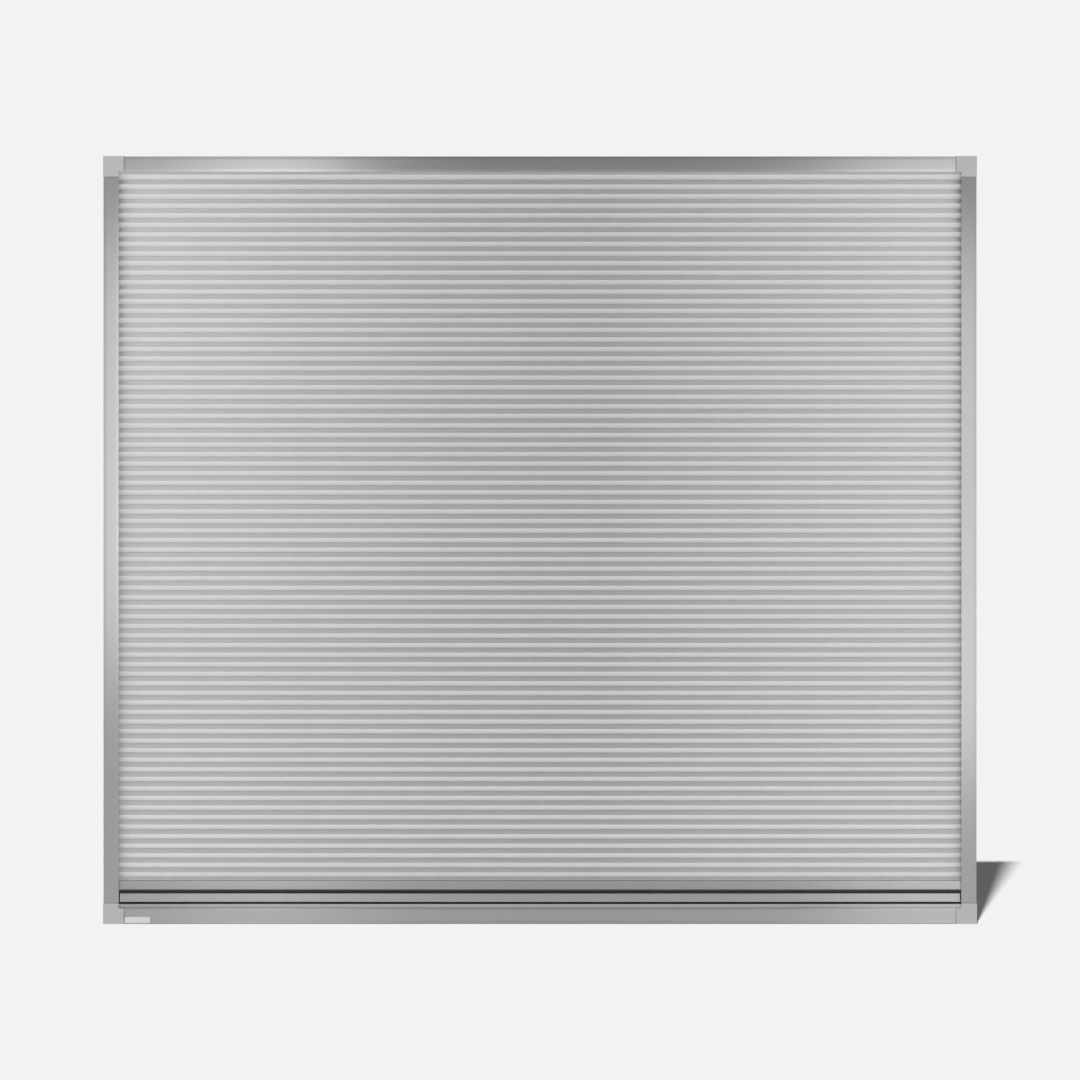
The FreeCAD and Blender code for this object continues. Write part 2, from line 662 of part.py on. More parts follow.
def glider(side):
    name = f"glider_{side}"
    other = "right" if side == "left" else "left"
    shoe = box(f"{name}_shoe", span(side, "rail_end", "guide_face"), even("shoe_half"),
               ("grip_bottom", "bar_top"))
    inside = span(side, "rail_end - spigot_length", "rail_end + guide_gap")
    rail_spigot = box(
        f"{name}_rail_spigot", inside, even("cord_offset - 2 * cord_room"),
        ("bar_chamber + spigot_gap", "bar_strip_floor - rail_wall - spigot_gap"))
    grip_spigot = box(
        f"{name}_grip_spigot", inside, ("spigot_gap - box_front", "rail_inside - spigot_gap"),
        ("grip_floor + grip_wall + spigot_gap", "box_top - port_height - spigot_gap"))
    blank = fused(f"{name}_blank", shoe, rail_spigot, grip_spigot)
    axis = "x" if side == "left" else "-x"
    tools = fused(
        f"{name}_tools",
        cord_slot(f"{name}_down", side, "-cord_offset", turn_height(side), "-"),
        cord_slot(f"{name}_up", side, "cord_offset", turn_height(other), "+"),
        screw_hole(
            f"{name}_hole", axis, "screw_length", off(side, "guide_face"), "box_middle", "port_middle"))
    node(name, cut(name, blank, tools))


def head_cap(side):
    name = f"head_cap_{side}"
    shoe = box(f"{name}_shoe", span(side, "rail_end", "guide_face"), even("shoe_half"),
               ("head_bottom", "head_top"))
    spigot = box(
        f"{name}_spigot", span(side, "rail_end - spigot_length", "rail_end + guide_gap"),
        ("spigot_gap - rail_inside", "cord_offset - 2 * cord_room"),
        ("head_chamber + spigot_gap", "head_roof - spigot_gap"))
    slot = cord_slot(f"{name}_cord", side, "cord_offset", "spring_height", "-")
    node(name, cut(name, fused(f"{name}_blank", shoe, spigot), slot))


# Cords and springs

def swept(name, edges, diameter):
    """A round wire or cord along a path of lines and arcs."""
    path = Part.Wire(edges)
    first = path.Edges[0]
    start = first.FirstParameter
    ring = Part.makeCircle(diameter / 2, first.valueAt(start), first.tangentAt(start))
    item = doc.addObject("Part::Feature", name)
    item.Shape = path.makePipeShell([Part.Wire([ring])], True, False)
    return item


def quarter(start, knee, end, radius):
    """An arc that is tangent to the lines from its knee to both its ends."""
    out = (start + end) * 0.5 - knee
    middle = knee + out.normalize() * radius * (math.sqrt(2) - 1)
    return Part.Arc(start, middle, end).toShape()


def cord_cross(side):
    """A cord's run through the bar, from its lower run on one side to its upper run on the other."""
    other = "right" if side == "left" else "left"
    radius, height = size("cord_turn"), size(turn_height(side))
    low = FreeCAD.Vector(size(off(side, "cord_line")), size("-cord_offset"), height)
    high = FreeCAD.Vector(size(off(other, "cord_line")), size("cord_offset"), height)
    way = (high - low).normalize() * radius
    up = FreeCAD.Vector(0, 0, radius)
    edges = [
        quarter(low - up, low, low + way, radius),
        Part.LineSegment(low + way, high - way).toShape(),
        quarter(high - way, high, high + up, radius),
    ]
    node(f"cord_{side}_cross", swept(f"cord_{side}_cross", edges, size("cord_diameter")))


def cord_lower(side):
    name = f"cord_{side}_lower"
    bottom = "anchor_top - cord_sink"
    run = cylinder(name, "z", "cord_diameter / 2", f"{turn_height(side)} - cord_turn - ({bottom})",
                   off(side, "cord_line"), "-cord_offset", bottom)
    node(name, run)


def cord_upper(side):
    """A cord's run from the bar up to the head cap, and in to its spring."""
    other = "right" if side == "left" else "left"
    radius, height, y = size("cord_turn"), size("spring_height"), size("cord_offset")
    line, end = size(off(side, "cord_line")), size(off(side, "spring_end + plug_flange"))
    bottom = FreeCAD.Vector(line, y, size(f"{turn_height(other)} + cord_turn"))
    knee = FreeCAD.Vector(line, y, height)
    inward = FreeCAD.Vector(math.copysign(radius, -line), 0, 0)
    top = knee - FreeCAD.Vector(0, 0, radius)
    edges = [
        Part.LineSegment(bottom, top).toShape(),
        quarter(top, knee, knee + inward, radius),
        Part.LineSegment(knee + inward, FreeCAD.Vector(end, y, height)).toShape(),
    ]
    node(f"cord_{side}_upper", swept(f"cord_{side}_upper", edges, size("cord_diameter")))


def biarc(start, start_way, end, end_way):
    """Two arcs that join two points along given directions."""
    gap, ways = end - start, start_way + end_way
    a = 2 * (start_way.dot(end_way) - 1)
    b = -2 * gap.dot(ways)
    c = gap.dot(gap)
    reach = (-b - math.sqrt(b * b - 4 * a * c)) / (2 * a)
    knees = (start + start_way * reach, end - end_way * reach)
    middle = (knees[0] + knees[1]) * 0.5
    arcs = []
    for first, knee, last in ((start, knees[0], middle), (middle, knees[1], end)):
        half = (first - knee).getAngle(last - knee) / 2
        out = ((first - knee).normalize() + (last - knee).normalize()).normalize()
        radius = reach * math.tan(half)
        arcs.append(Part.Arc(first, knee + out * (radius / math.sin(half) - radius), last).toShape())
    return arcs


def spring(side):
    """A tension spring inside the head rail: curls round X, wound in quarter turns."""
    radius, pitch, wire = size("coil_radius"), size("spring_pitch"), size("spring_wire")
    count = int(size("spring_curls"))
    centre = FreeCAD.Vector(size(off(side, "spring_end")), size("cord_offset"), size("spring_height"))
    inward = math.copysign(1, -centre.x)
    half_wire = wire / 2

    def point(turn):
        angle = math.tau * turn
        along = inward * (half_wire + turn * (count * pitch - wire) / count)
        return centre + FreeCAD.Vector(along, radius * math.cos(angle), radius * math.sin(angle))

    def way(turn):
        angle = math.tau * turn
        along = inward * (pitch - wire / count) / math.tau
        return FreeCAD.Vector(along, -radius * math.sin(angle), radius * math.cos(angle)).normalize()

    edges = []
    for step in range(4 * count):
        start, end = step / 4, (step + 1) / 4
        edges += biarc(point(start), way(start), point(end), way(end))
    item = swept(f"spring_{side}", edges, wire)
    print(f"spring_{side}: gap between curls {pitch - wire:.2f} mm, length {Part.Wire(edges).Length:.0f} mm")
    node(f"spring_{side}", item)


def spring_plug(side):
    """The plug on a cord's end, which the first curls of the spring grip."""
    name = f"spring_plug_{side}"
    axis = "-x" if side == "right" else "x"
    start = off(side, "spring_end + plug_flange")
    seat = (start, "cord_offset", "spring_height")
    flange = cylinder(f"{name}_flange", axis, "spring_diameter / 2", "plug_flange", *seat)
    stub = cylinder(f"{name}_stub", axis, "plug_radius", "plug_flange + plug_length", *seat)
    node(name, fused(name, flange, stub))


def spring_anchor(side):
    """The block across the head rail's chamber that holds the spring's inner end."""
    name = f"spring_anchor_{side}"
    block = box(f"{name}_block", span(side, "spring_start - block_length", "spring_start"),
                even("rail_inside - fit_clearance"),
                ("head_chamber + fit_clearance", "head_roof - fit_clearance"))
    axis = "x" if side == "right" else "-x"
    stub = cylinder(f"{name}_stub", axis, "plug_radius", "plug_length", off(side, "spring_start"),
                    "cord_offset", "spring_height")
    node(name, fused(name, block, stub))


def cord_anchor(side):
    """The block in a bottom corner that holds a cord's lower end."""
    name = f"cord_anchor_{side}"
    block = box(f"{name}_block", span(side, "anchor_start", "anchor_end"), even("anchor_depth / 2"),
                ("web_depth", "anchor_top"))
    hole = cylinder(f"{name}_hole", "-z", "cord_room", "cord_sink", off(side, "cord_line"),
                    "-cord_offset", "anchor_top")
    seat = screw_hole(f"{name}_seat", "-z", "anchor_height", off(side, "anchor_middle"),
                      "cord_offset", "anchor_top")
    node(name, cut(name, block, fused(f"{name}_holes", hole, seat)))


# Clips and screws

def head_clips():
    clips = []
    leg_in = "rail_half + fit_clearance"
    for index, x in enumerate(clip_places()):
        along = (f"{x} - clip_width / 2", f"{x} + clip_width / 2")
        plate = even("channel_half - fit_clearance")
        parts = [box(f"clip_plate_{index}", along, plate, ("head_top", "top_web"))]
        toe = ("head_bottom - fit_clearance - clip_leg", "head_bottom - fit_clearance")
        for face in ("front", "rear"):
            leg, hook = (leg_in, f"{leg_in} + clip_leg"), (f"{leg_in} - clip_grip", f"{leg_in} + clip_leg")
            if face == "front":
                leg, hook = [tuple(f"-({y})" for y in reversed(pair)) for pair in (leg, hook)]
            parts.append(box(f"clip_leg_{face}_{index}", along, leg, (toe[0], "top_web")))
            parts.append(box(f"clip_toe_{face}_{index}", along, hook, toe))
        hole = screw_hole(f"clip_seat_{index}", "z", "clip_plate", x, "0", "head_top")
        clips.append(cut(f"clip_{index}", fused(f"clip_blank_{index}", *parts), hole))
    node("head_clips", grouped("head_clips", clips))


def screws():
    clip_screws = [
        screw(f"clip_screw_{index}", "z", "screw_short", x, "0", "head_top")
        for index, x in enumerate(clip_places())
    ]
    anchor_screws = [
        screw(f"anchor_screw_{side}", "-z", "anchor_height + screw_short / 2", off(side, "anchor_middle"),
              "cord_offset", "anchor_top")
        for side in ("left", "right")
    ]
    glider_screws = [
        screw(f"glider_screw_{side}", "x" if side == "left" else "-x", "screw_length",
              off(side, "guide_face"), "box_middle", "port_middle")
        for side in ("left", "right")
    ]
    node("clip_screws", grouped("clip_screws", clip_screws))
    node("anchor_screws", grouped("anchor_screws", anchor_screws))
    node("glider_screws", grouped("glider_screws", glider_screws))


# The whole blind

for level in ("bottom", "top"):
    level_profile(level)
for side in ("left", "right"):
    side_profile(side)
    for level in ("bottom", "top"):
        corner_piece(side, level)
    for face in ("front", "rear"):
        pile_strip(side, face)
badge_plate()
sill_strip()
rail("head_rail", "head_top", "head_bottom", "+")
rail("bar_rail", "bar_bottom", "bar_top", "-")
handle_rail()
grip_shelf()
grip_face()
groove_inlay()
bar_seal()
fabric()
strip("head_strip", "head_strip_roof", "-")
strip("bar_strip", "bar_strip_floor", "+")
for side in ("left", "right"):
    grip_cap(side)
    glider(side)
    head_cap(side)
    cord_anchor(side)
    cord_lower(side)
    cord_cross(side)
    cord_upper(side)
    spring(side)
    spring_plug(side)
    spring_anchor(side)
head_clips()
screws()
doc.recompute()

# Every object and every sub-part has to be sound before anything is written
for item in doc.Objects:
    if "Invalid" in item.State or "Error" in item.State:
        raise RuntimeError(f"{item.Label} failed: {item.State}")
for item in nodes:
    if item.Shape.isNull() or not item.Shape.isValid() or not item.Shape.Solids:
        raise RuntimeError(f"{item.Label} has no valid solid")

os.makedirs("parts", exist_ok=True)
for item in nodes:
    item.Shape.exportStep(f"parts/{item.Label}.step")
print(f"{len(nodes)} sub-parts written")
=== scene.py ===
import json
import math

import bpy
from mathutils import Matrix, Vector

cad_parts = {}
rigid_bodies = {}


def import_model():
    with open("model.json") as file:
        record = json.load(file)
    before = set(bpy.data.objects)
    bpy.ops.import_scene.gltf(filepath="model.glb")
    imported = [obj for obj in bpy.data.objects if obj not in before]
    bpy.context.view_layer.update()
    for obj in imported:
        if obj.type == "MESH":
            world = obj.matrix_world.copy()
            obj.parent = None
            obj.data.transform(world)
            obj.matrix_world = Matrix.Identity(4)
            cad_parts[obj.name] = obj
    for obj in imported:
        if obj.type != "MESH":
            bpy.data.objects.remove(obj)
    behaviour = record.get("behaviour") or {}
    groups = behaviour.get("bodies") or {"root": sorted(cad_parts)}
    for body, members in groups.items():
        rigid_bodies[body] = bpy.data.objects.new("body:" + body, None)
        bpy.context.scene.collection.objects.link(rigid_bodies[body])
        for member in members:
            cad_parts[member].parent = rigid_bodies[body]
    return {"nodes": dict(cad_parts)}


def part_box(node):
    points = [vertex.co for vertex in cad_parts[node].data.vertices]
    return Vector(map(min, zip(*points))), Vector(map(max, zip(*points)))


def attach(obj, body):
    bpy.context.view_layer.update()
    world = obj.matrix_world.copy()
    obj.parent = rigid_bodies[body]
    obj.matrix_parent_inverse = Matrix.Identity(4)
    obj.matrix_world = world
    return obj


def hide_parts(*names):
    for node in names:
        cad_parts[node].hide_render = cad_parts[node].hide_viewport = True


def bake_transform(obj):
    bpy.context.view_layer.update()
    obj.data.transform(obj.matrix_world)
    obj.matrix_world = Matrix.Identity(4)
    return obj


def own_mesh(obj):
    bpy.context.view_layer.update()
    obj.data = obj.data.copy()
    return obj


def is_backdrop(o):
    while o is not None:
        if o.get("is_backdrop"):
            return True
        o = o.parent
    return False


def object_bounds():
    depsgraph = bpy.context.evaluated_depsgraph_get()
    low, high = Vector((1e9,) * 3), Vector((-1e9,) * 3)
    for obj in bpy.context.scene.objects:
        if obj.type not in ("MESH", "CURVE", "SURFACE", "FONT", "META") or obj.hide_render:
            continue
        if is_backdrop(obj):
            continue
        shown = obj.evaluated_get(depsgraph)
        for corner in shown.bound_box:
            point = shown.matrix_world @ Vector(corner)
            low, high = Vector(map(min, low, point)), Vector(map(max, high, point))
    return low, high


bl_info = {
    "name": "Blackout blind",
    "version": (1, 0, 0),
    "blender": (4, 5, 0),
    "location": "3D View > Sidebar > Blind",
    "description": "Finishes the pieces of a honeycomb blackout blind in its aluminium frame",
    "category": "Object",
}

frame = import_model()
MM = 0.001
NEAR = 0.01 * MM  # A vertex this near to a plane lies in it
ROUGHLY = 0.05 * MM  # The same beside a cut
WHITE = (1, 1, 1, 1)


def linear(colour):
    """An sRGB hex colour as linear numbers."""
    def channel(text):
        value = int(text, 16) / 255
        return value / 12.92 if value <= 0.04045 else ((value + 0.055) / 1.055) ** 2.4
    return tuple(channel(colour[at:at + 2]) for at in (1, 3, 5))


def length(name, default, description):
    """A size that a user can change, from its millimetres."""
    return bpy.props.FloatProperty(name=name, description=description, default=default * MM,
                                   min=0, precision=5, unit="LENGTH")


def colour(name, default, description):
    """A colour that a user can change, from its hex value."""
    return bpy.props.FloatVectorProperty(name=name, description=description, size=3, min=0, max=1,
                                         default=linear(default), subtype="COLOR")


class BlindSizes(bpy.types.PropertyGroup):
    """The sizes of the finish, and the camera's place."""
    face_drop: length("Outer drop", 0.36, "How far a profile's face falls back at its outer edge")
    face_curve: length("Outer curve", 5.6, "How wide that curve is, from the outer edge")
    sill_edge_rise: length("Sill edge", 0.28, "How far the bottom profile's foot leans out")
    lip_drop: length("Inner drop", 0.25, "How far a profile's face falls back at its lip")
    lip_curve: length("Inner curve", 5.0, "How wide that curve is, from the lip")
    metal_edge: length("Metal edge", 0.3, "Rounding of the aluminium edges")
    moulded_edge: length("Moulded edge", 0.4, "Rounding of the moulded corner pieces")
    fitting_edge: length("Fitting edge", 0.2, "Rounding of the fittings inside the frame")
    grip_edge: length("Grip edge", 0.45, "Rounding of the grip's edges")
    cap_edge: length("Cap edge", 1.0, "Rounding of the grip's end caps")
    seal_edge: length("Seal edge", 0.3, "Rounding of the rubber lip")
    inlay_edge: length("Inlay edge", 0.08, "Rounding of the strip in the finger groove")
    grip_rise: length("Grip rise", 0.8, "How far the grip's top is raised")
    joint_gap: length("Joint gap", 0.5, "Gap between a level profile and its corner piece")
    side_gap: length("Side gap", 0.12, "Gap between an upright profile and its corner piece")
    sill_advance: length("Sill strip", 3.0, "How far its front stands forward")
    rail_edge: length("Rail edge", 2.0, "Rounding of the bar rail's lower outer edges")
    rail_top_sink: length("Rail top", 0.9, "How far the bar rail's top is lowered")
    rail_foot_sink: length("Rail foot", 0.8, "How far its lower edges reach over the grip's box")
    plate_corner: length("Plate corner", 1.6, "Radius of the blank plate's corners")
    plate_rim: length("Plate rim", 0.5, "Width of the plate's raised rim")
    plate_ramp: length("Plate ramp", 0.12, "Width of the slope from the rim to the field")
    plate_field: length("Plate field", 0.08, "Depth of the plate's field")
    plate_edge: length("Plate edge", 0.06, "Rounding of the plate's edges")
    pleats: bpy.props.IntProperty(
        name="Pleats", description="Open cells of the fabric", default=74, min=2, max=400)
    glue_width: length("Glue line", 5.4, "Depth of the glue line between two cells")
    cloth: length("Cloth", 0.3, "Thickness of the fabric")
    fold_round: length("Fold", 0.35, "Rounding of the fabric's folds")
    glue_round: length("Valley", 0.5, "Rounding of the fabric beside a glue line")
    sag: length("Sag", 0.1, "How far a glue line hangs below the middle of its folds")
    pile_edge: length("Pile edge", 0.15, "Rounding of the pile's backing")
    # The lean lets the dark tufts paint a line of shade along each lip
    shade_line_lean: length("Pile show", 0.9, "How far the outermost tufts lean out past the lip")
    tuft_step: length("Tufts", 1.5, "Spacing of the pile's tufts")
    cord: length("Cord", 1.0, "Diameter of the tension cords")
    view_distance: length("View distance", 8000, "Camera to the face of the frame")
    view_width: length("View width", 1406.2, "Width of the picture at the face of the frame")


class BlindColours(bpy.types.PropertyGroup):
    """The colours of the finishes."""
    aluminium: colour("Aluminium", "#C0C1C1", "Anodised frame profiles")
    bar: colour("Bar", "#BFC0C1", "Anodised bar and grip")
    plastic: colour("Corners", "#B9BABA", "Moulded corner pieces")
    cloth: colour("Cloth", "#D8D8D8", "Blackout cloth")
    plate: colour("Plate", "#DDDDDC", "Blank plate")
    sill: colour("Sill strip", "#C6C6C7", "Bright strip behind the bottom profile")
    fitting: colour("Fittings", "#8F9091", "Gliders, caps and anchors inside the frame")
    strip: colour("Strips", "#DADAD8", "Stiff strips inside the fabric's end cells")
    spring: colour("Springs", "#A9AAAB", "Tension springs")
    screw: colour("Screws", "#B4B5B5", "Zinc plated screws")
    rubber: colour("Rubber", "#262726", "Rubber lip under the grip")
    # The strip's dark grey is painted shade in the finger groove, on top of the groove's real shade
    inlay: colour("Inlay", "#6A6C6B", "Dark strip in the finger groove")
    # The pile's grey is made darker, as painted shade, so that the tufts past the lip draw a dark
    # line beside the fabric
    pile: colour("Pile", "#4C4D4D", "Pile strips inside the side lips")
    cord: colour("Cord", "#D8D8D4", "Tension cords")
    floor: colour("Floor", "#F2F2F2", "Floor and background")


def chosen(context):
    """The sizes and colours that the scene holds."""
    return context.scene.blind_sizes, context.scene.blind_colours


# Modelling helpers

def linked(name, data):
    """A new object in the scene."""
    item = bpy.data.objects.new(name, data)
    bpy.context.collection.objects.link(item)
    return item


def only(piece):
    """Makes one piece the selected and active one."""
    bpy.ops.object.select_all(action="DESELECT")
    piece.select_set(True)
    bpy.context.view_layer.objects.active = piece


def editing(on):
    """Enters or leaves edit mode."""
    bpy.ops.object.mode_set(mode="EDIT" if on else "OBJECT")


def pick_all(piece):
    """Selects all of a piece and leaves it in edit mode."""
    only(piece)
    editing(True)
    bpy.ops.mesh.select_all(action="SELECT")


def pick(piece, kind, test):
    """Selects what a test accepts of a piece's vertices, edges or faces, in edit mode."""
    only(piece)
    editing(True)
    bpy.ops.mesh.select_mode(type=kind)
    bpy.ops.mesh.select_all(action="DESELECT")
    editing(False)
    mesh = piece.data
    for item in {"VERT": mesh.vertices, "EDGE": mesh.edges, "FACE": mesh.polygons}[kind]:
        item.select = test(item)
    editing(True)


def along_axis(axis, value):
    """A vector that is this long along one axis."""
    return Vector([value if index == axis else 0 for index in range(3)])


def move(piece, test, shift):
    """Moves the vertices that a test accepts."""
    pick(piece, "VERT", test)
    bpy.ops.transform.translate(value=shift)
    editing(False)


def cut(piece, axis, place):
    """Cuts a piece's faces by a plane across one axis."""
    pick(piece, "FACE", lambda item: True)
    bpy.ops.mesh.bisect(plane_co=along_axis(axis, place), plane_no=along_axis(axis, 1))
    editing(False)


def extend(shift):
    """Extrudes the selected faces."""
    bpy.ops.mesh.extrude_region_move(TRANSFORM_OT_translate={"value": shift})


def round_edges(piece, radius, test):
    """Rounds the edges whose two ends a test accepts."""
    ends = [vertex.co.copy() for vertex in piece.data.vertices]
    pick(piece, "EDGE", lambda item: test(*[ends[index] for index in item.vertices]))
    bpy.ops.mesh.bevel(offset=radius, segments=5)
    editing(False)


def sink(piece, depth, rims, test):
    """Sinks the faces that a test accepts towards the rear, inside rims of these widths."""
    pick(piece, "FACE", test)
    for rim in rims:
        bpy.ops.mesh.inset(thickness=rim)
    bpy.ops.transform.translate(value=(0, depth, 0))
    editing(False)


def modify(piece, kind, **settings):
    """Adds a modifier and applies it."""
    only(piece)
    modifier = piece.modifiers.new(kind.lower(), kind)
    for name, value in settings.items():
        setattr(modifier, name, value)
    bpy.ops.object.modifier_apply(modifier=modifier.name)


def smooth(piece, angle=35):
    """Smooths a piece's shading, but for edges sharper than an angle."""
    only(piece)
    bpy.ops.object.shade_smooth_by_angle(angle=math.radians(angle))


def bevelled(piece, width, segments=2):
    """Rounds the sharp edges of a piece and smooths its shading."""
    modify(piece, "BEVEL", width=width, segments=segments, limit_method="ANGLE",
           angle_limit=math.radians(40))
    smooth(piece)
    modify(piece, "WEIGHTED_NORMAL", keep_sharp=True)


def merge_doubles():
    """Merges the selected vertices that coincide."""
    bpy.ops.mesh.remove_doubles(threshold=0.002 * MM)


def merged_copy(node, name):
    """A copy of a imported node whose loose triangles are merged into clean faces."""
    piece = linked(name, frame["nodes"][node].data.copy())
    pick_all(piece)
    merge_doubles()
    bpy.ops.mesh.dissolve_limited(angle_limit=math.radians(0.5))
    editing(False)
    return piece


def placed(name):
    """Names the new primitive and applies its place, turn and scale."""
    piece = bpy.context.active_object
    piece.name = name
    bpy.ops.object.transform_apply(location=True, rotation=True, scale=True)
    return piece


def block(name, low, high):
    """A box between two corners, as the start of a piece."""
    low, high = Vector(low), Vector(high)
    bpy.ops.mesh.primitive_cube_add(size=1, location=(low + high) / 2, scale=high - low)
    return placed(name)


def outward(piece, merge=True):
    """Turns all faces of a closed piece outwards."""
    pick_all(piece)
    if merge:
        merge_doubles()
    bpy.ops.mesh.normals_make_consistent(inside=False)
    editing(False)


def finished(piece, body, material, slot, *nodes):
    """Gives a piece its material and the body it rides, and hides the nodes that it stands for; its
    slot is not used.
    """
    piece.data.materials.clear()
    piece.data.materials.append(material)
    if body:
        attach(piece, body)
    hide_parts(*nodes)


def refined(node, name, body, material, slot, width, segments=2):
    """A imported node's clean copy with rounded edges, finished."""
    piece = merged_copy(node, name)
    bevelled(piece, width, segments)
    finished(piece, body, material, slot, node)


def coat(material, *nodes):
    """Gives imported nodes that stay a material."""
    for node in nodes:
        mesh = frame["nodes"][node].data
        mesh.materials.clear()
        mesh.materials.append(material)


# Materials

def add(tree, kind, settings=None, links=None, **properties):
    """Adds a node with its properties, its sockets' values, and links from sockets or nodes."""
    node = tree.nodes.new("ShaderNode" + kind)
    for name, value in properties.items():
        setattr(node, name, value)
    for socket, value in (settings or {}).items():
        node.inputs[socket].default_value = value
    for socket, source in (links or {}).items():
        if isinstance(source, bpy.types.Node):
            source = source.outputs[0]
        tree.links.new(source, node.inputs[socket])
    return node


def blank_tree(owner):
    """The emptied node tree of a material or world."""
    owner.use_nodes = True
    owner.node_tree.nodes.clear()
    return owner.node_tree


def new_material(name, value, shades, patterns, gloss=None, bump=None, shader=None, uv_map=None):
    """A material with one Principled shader.

    patterns(tree, place) gives what drives its colour, between two shades of a value, its
    roughness, through gloss, and its relief, through bump.
    """
    material = bpy.data.materials.get(name)
    if material:
        return material
    material = bpy.data.materials.new(name)
    tree = blank_tree(material)
    place = add(tree, "UVMap", uv_map=uv_map) if uv_map else add(tree, "TexCoord").outputs["Object"]
    links = patterns(tree, place)
    low, high = [tuple(min(1, part * (1 + share)) for part in value) + (1,) for share in shades]
    shade = add(tree, "Mix", {"A": low, "B": high}, {"Factor": links["Base Color"]},
                data_type="RGBA")
    links["Base Color"] = shade.outputs["Result"]
    if gloss:
        links["Roughness"] = add(tree, "MapRange", gloss, {"Value": links["Roughness"]})
    if bump:
        links["Normal"] = add(tree, "Bump", bump, {"Height": links["Normal"]})
    surface = add(tree, "BsdfPrincipled", shader, links)
    add(tree, "OutputMaterial", links={"Surface": surface})
    return material


def per_mm(spacing):
    """The scale of a texture whose features are this many millimetres apart."""
    return 1 / (spacing * MM)


def band_scale(spacing):
    """The scale of a wave texture whose bands are about this many millimetres apart."""
    return per_mm(spacing) / 3.15


def around(value, below, above):
    """The range through which a pattern takes a value."""
    return {"To Min": value - below, "To Max": value + above}


def relief(strength, depth):
    """A bump's settings, its depth in millimetres."""
    return {"Strength": strength, "Distance": depth * MM}


def blended(tree, first, second):
    """The mean of two patterns."""
    total = add(tree, "Math", links={0: first, 1: second}, operation="ADD")
    return add(tree, "Math", {1: 0.5}, {0: total}, operation="MULTIPLY")


def anodised_aluminium(name, value, along, roughness=0.41):
    """Extruded aluminium, etched and anodised: satin, with faint die lines along the profile."""
    def patterns(tree, place):
        # Die lines lie about 0.1 mm apart and run for a hand's width; drawn at 0.4 mm to show.
        stretch = [per_mm(0.4)] * 3
        stretch["XYZ".index(along)] = per_mm(120)
        drawn = add(tree, "Mapping", {"Scale": stretch}, {"Vector": place})
        lines = add(tree, "TexNoise", {"Scale": 1, "Detail": 3, "Roughness": 0.6},
                    {"Vector": drawn})
        # The etch leaves a fine even grain, and handling soft patches a few centimetres wide.
        grain = add(tree, "TexNoise", {"Scale": per_mm(0.25), "Detail": 2}, {"Vector": place})
        patches = add(tree, "TexNoise", {"Scale": per_mm(60), "Detail": 2}, {"Vector": place})
        mixed = blended(tree, lines, patches)
        faint = add(tree, "Math", {1: 0.4}, {0: grain}, operation="MULTIPLY")
        height = add(tree, "Math", links={0: lines, 1: faint}, operation="ADD")
        # The lines spread a reflection across themselves much more than along themselves.
        run = tuple(float(letter == along) for letter in "XYZ")
        normal = add(tree, "NewGeometry").outputs["Normal"]
        across = add(tree, "VectorMath", {1: run}, {0: normal}, operation="CROSS_PRODUCT")
        return {"Base Color": mixed, "Roughness": mixed, "Normal": height, "Tangent": across}
    return new_material(name, value, (-0.05, 0.05), patterns, around(roughness, 0.05, 0.05),
                        relief(0.35, 0.004), {"Metallic": 1, "Anisotropic": 0.8})


def moulded(name, value, roughness, texture=0.02):
    """Injection moulded ABS or acetal: matte, with the fine spark texture of its mould."""
    def patterns(tree, place):
        # Spark texture is about 0.2 mm; drawn at 0.35 mm so that it shows.
        spark = add(tree, "TexNoise", {"Scale": per_mm(0.35), "Detail": 3}, {"Vector": place})
        flow = add(tree, "TexNoise", {"Scale": per_mm(18), "Detail": 2}, {"Vector": place})
        return {"Base Color": flow, "Roughness": spark, "Normal": spark}
    return new_material(name, value, (-0.04, 0.04), patterns, around(roughness, 0.06, 0.06),
                        relief(0.5, texture))


def blackout_cloth(value):
    """Spun polyester backed with foil: opaque and matte, with fine threads and cloudy fibre."""
    def patterns(tree, place):
        # The map's units are metres of cloth: U along the folds and V across them.
        # Threads are about 0.25 mm apart; drawn at 1 mm so that they show from close by.
        threads = [
            add(tree, "TexWave", {"Scale": band_scale(1.0), "Distortion": 0.6, "Detail": 1,
                                  "Detail Scale": 2}, {"Vector": place},
                bands_direction=way).outputs["Fac"]
            for way in ("X", "Y")
        ]
        weave = add(tree, "Math", links={0: threads[0], 1: threads[1]}, operation="MULTIPLY")
        # Fibres are some 9 mm long and lie 0.7 mm apart, and clouds are wider than a thumb.
        stretch = (per_mm(9), per_mm(0.7), 1)
        drawn = add(tree, "Mapping", {"Scale": stretch}, {"Vector": place})
        fibres = add(tree, "TexNoise", {"Scale": 1, "Detail": 4, "Roughness": 0.65},
                     {"Vector": drawn})
        clouds = add(tree, "TexNoise", {"Scale": per_mm(45), "Detail": 3}, {"Vector": place})
        height = add(tree, "Math", links={0: weave, 1: fibres}, operation="ADD")
        return {"Base Color": blended(tree, fibres, clouds), "Normal": height}
    shader = {"Roughness": 0.78, "Sheen Weight": 0.05, "Sheen Roughness": 0.5, "IOR": 1.45}
    return new_material("spun_polyester_cloth", value, (-0.05, 0.05), patterns,
                        bump=relief(0.3, 0.03), shader=shader, uv_map="cloth")


def extruded_rubber(name, value, roughness):
    """Extruded rubber or PVC: near black and dull, with drawn lines along it."""
    def patterns(tree, place):
        stretch = (per_mm(40), per_mm(0.5), per_mm(0.5))
        drawn = add(tree, "Mapping", {"Scale": stretch}, {"Vector": place})
        lines = add(tree, "TexNoise", {"Scale": 1, "Detail": 3}, {"Vector": drawn})
        bloom = add(tree, "TexNoise", {"Scale": per_mm(25), "Detail": 3}, {"Vector": place})
        return {"Base Color": bloom, "Roughness": lines, "Normal": lines}
    return new_material(name, value, (-0.15, 0.25), patterns, around(roughness, 0.08, 0.08),
                        relief(0.4, 0.02), {"IOR": 1.52})


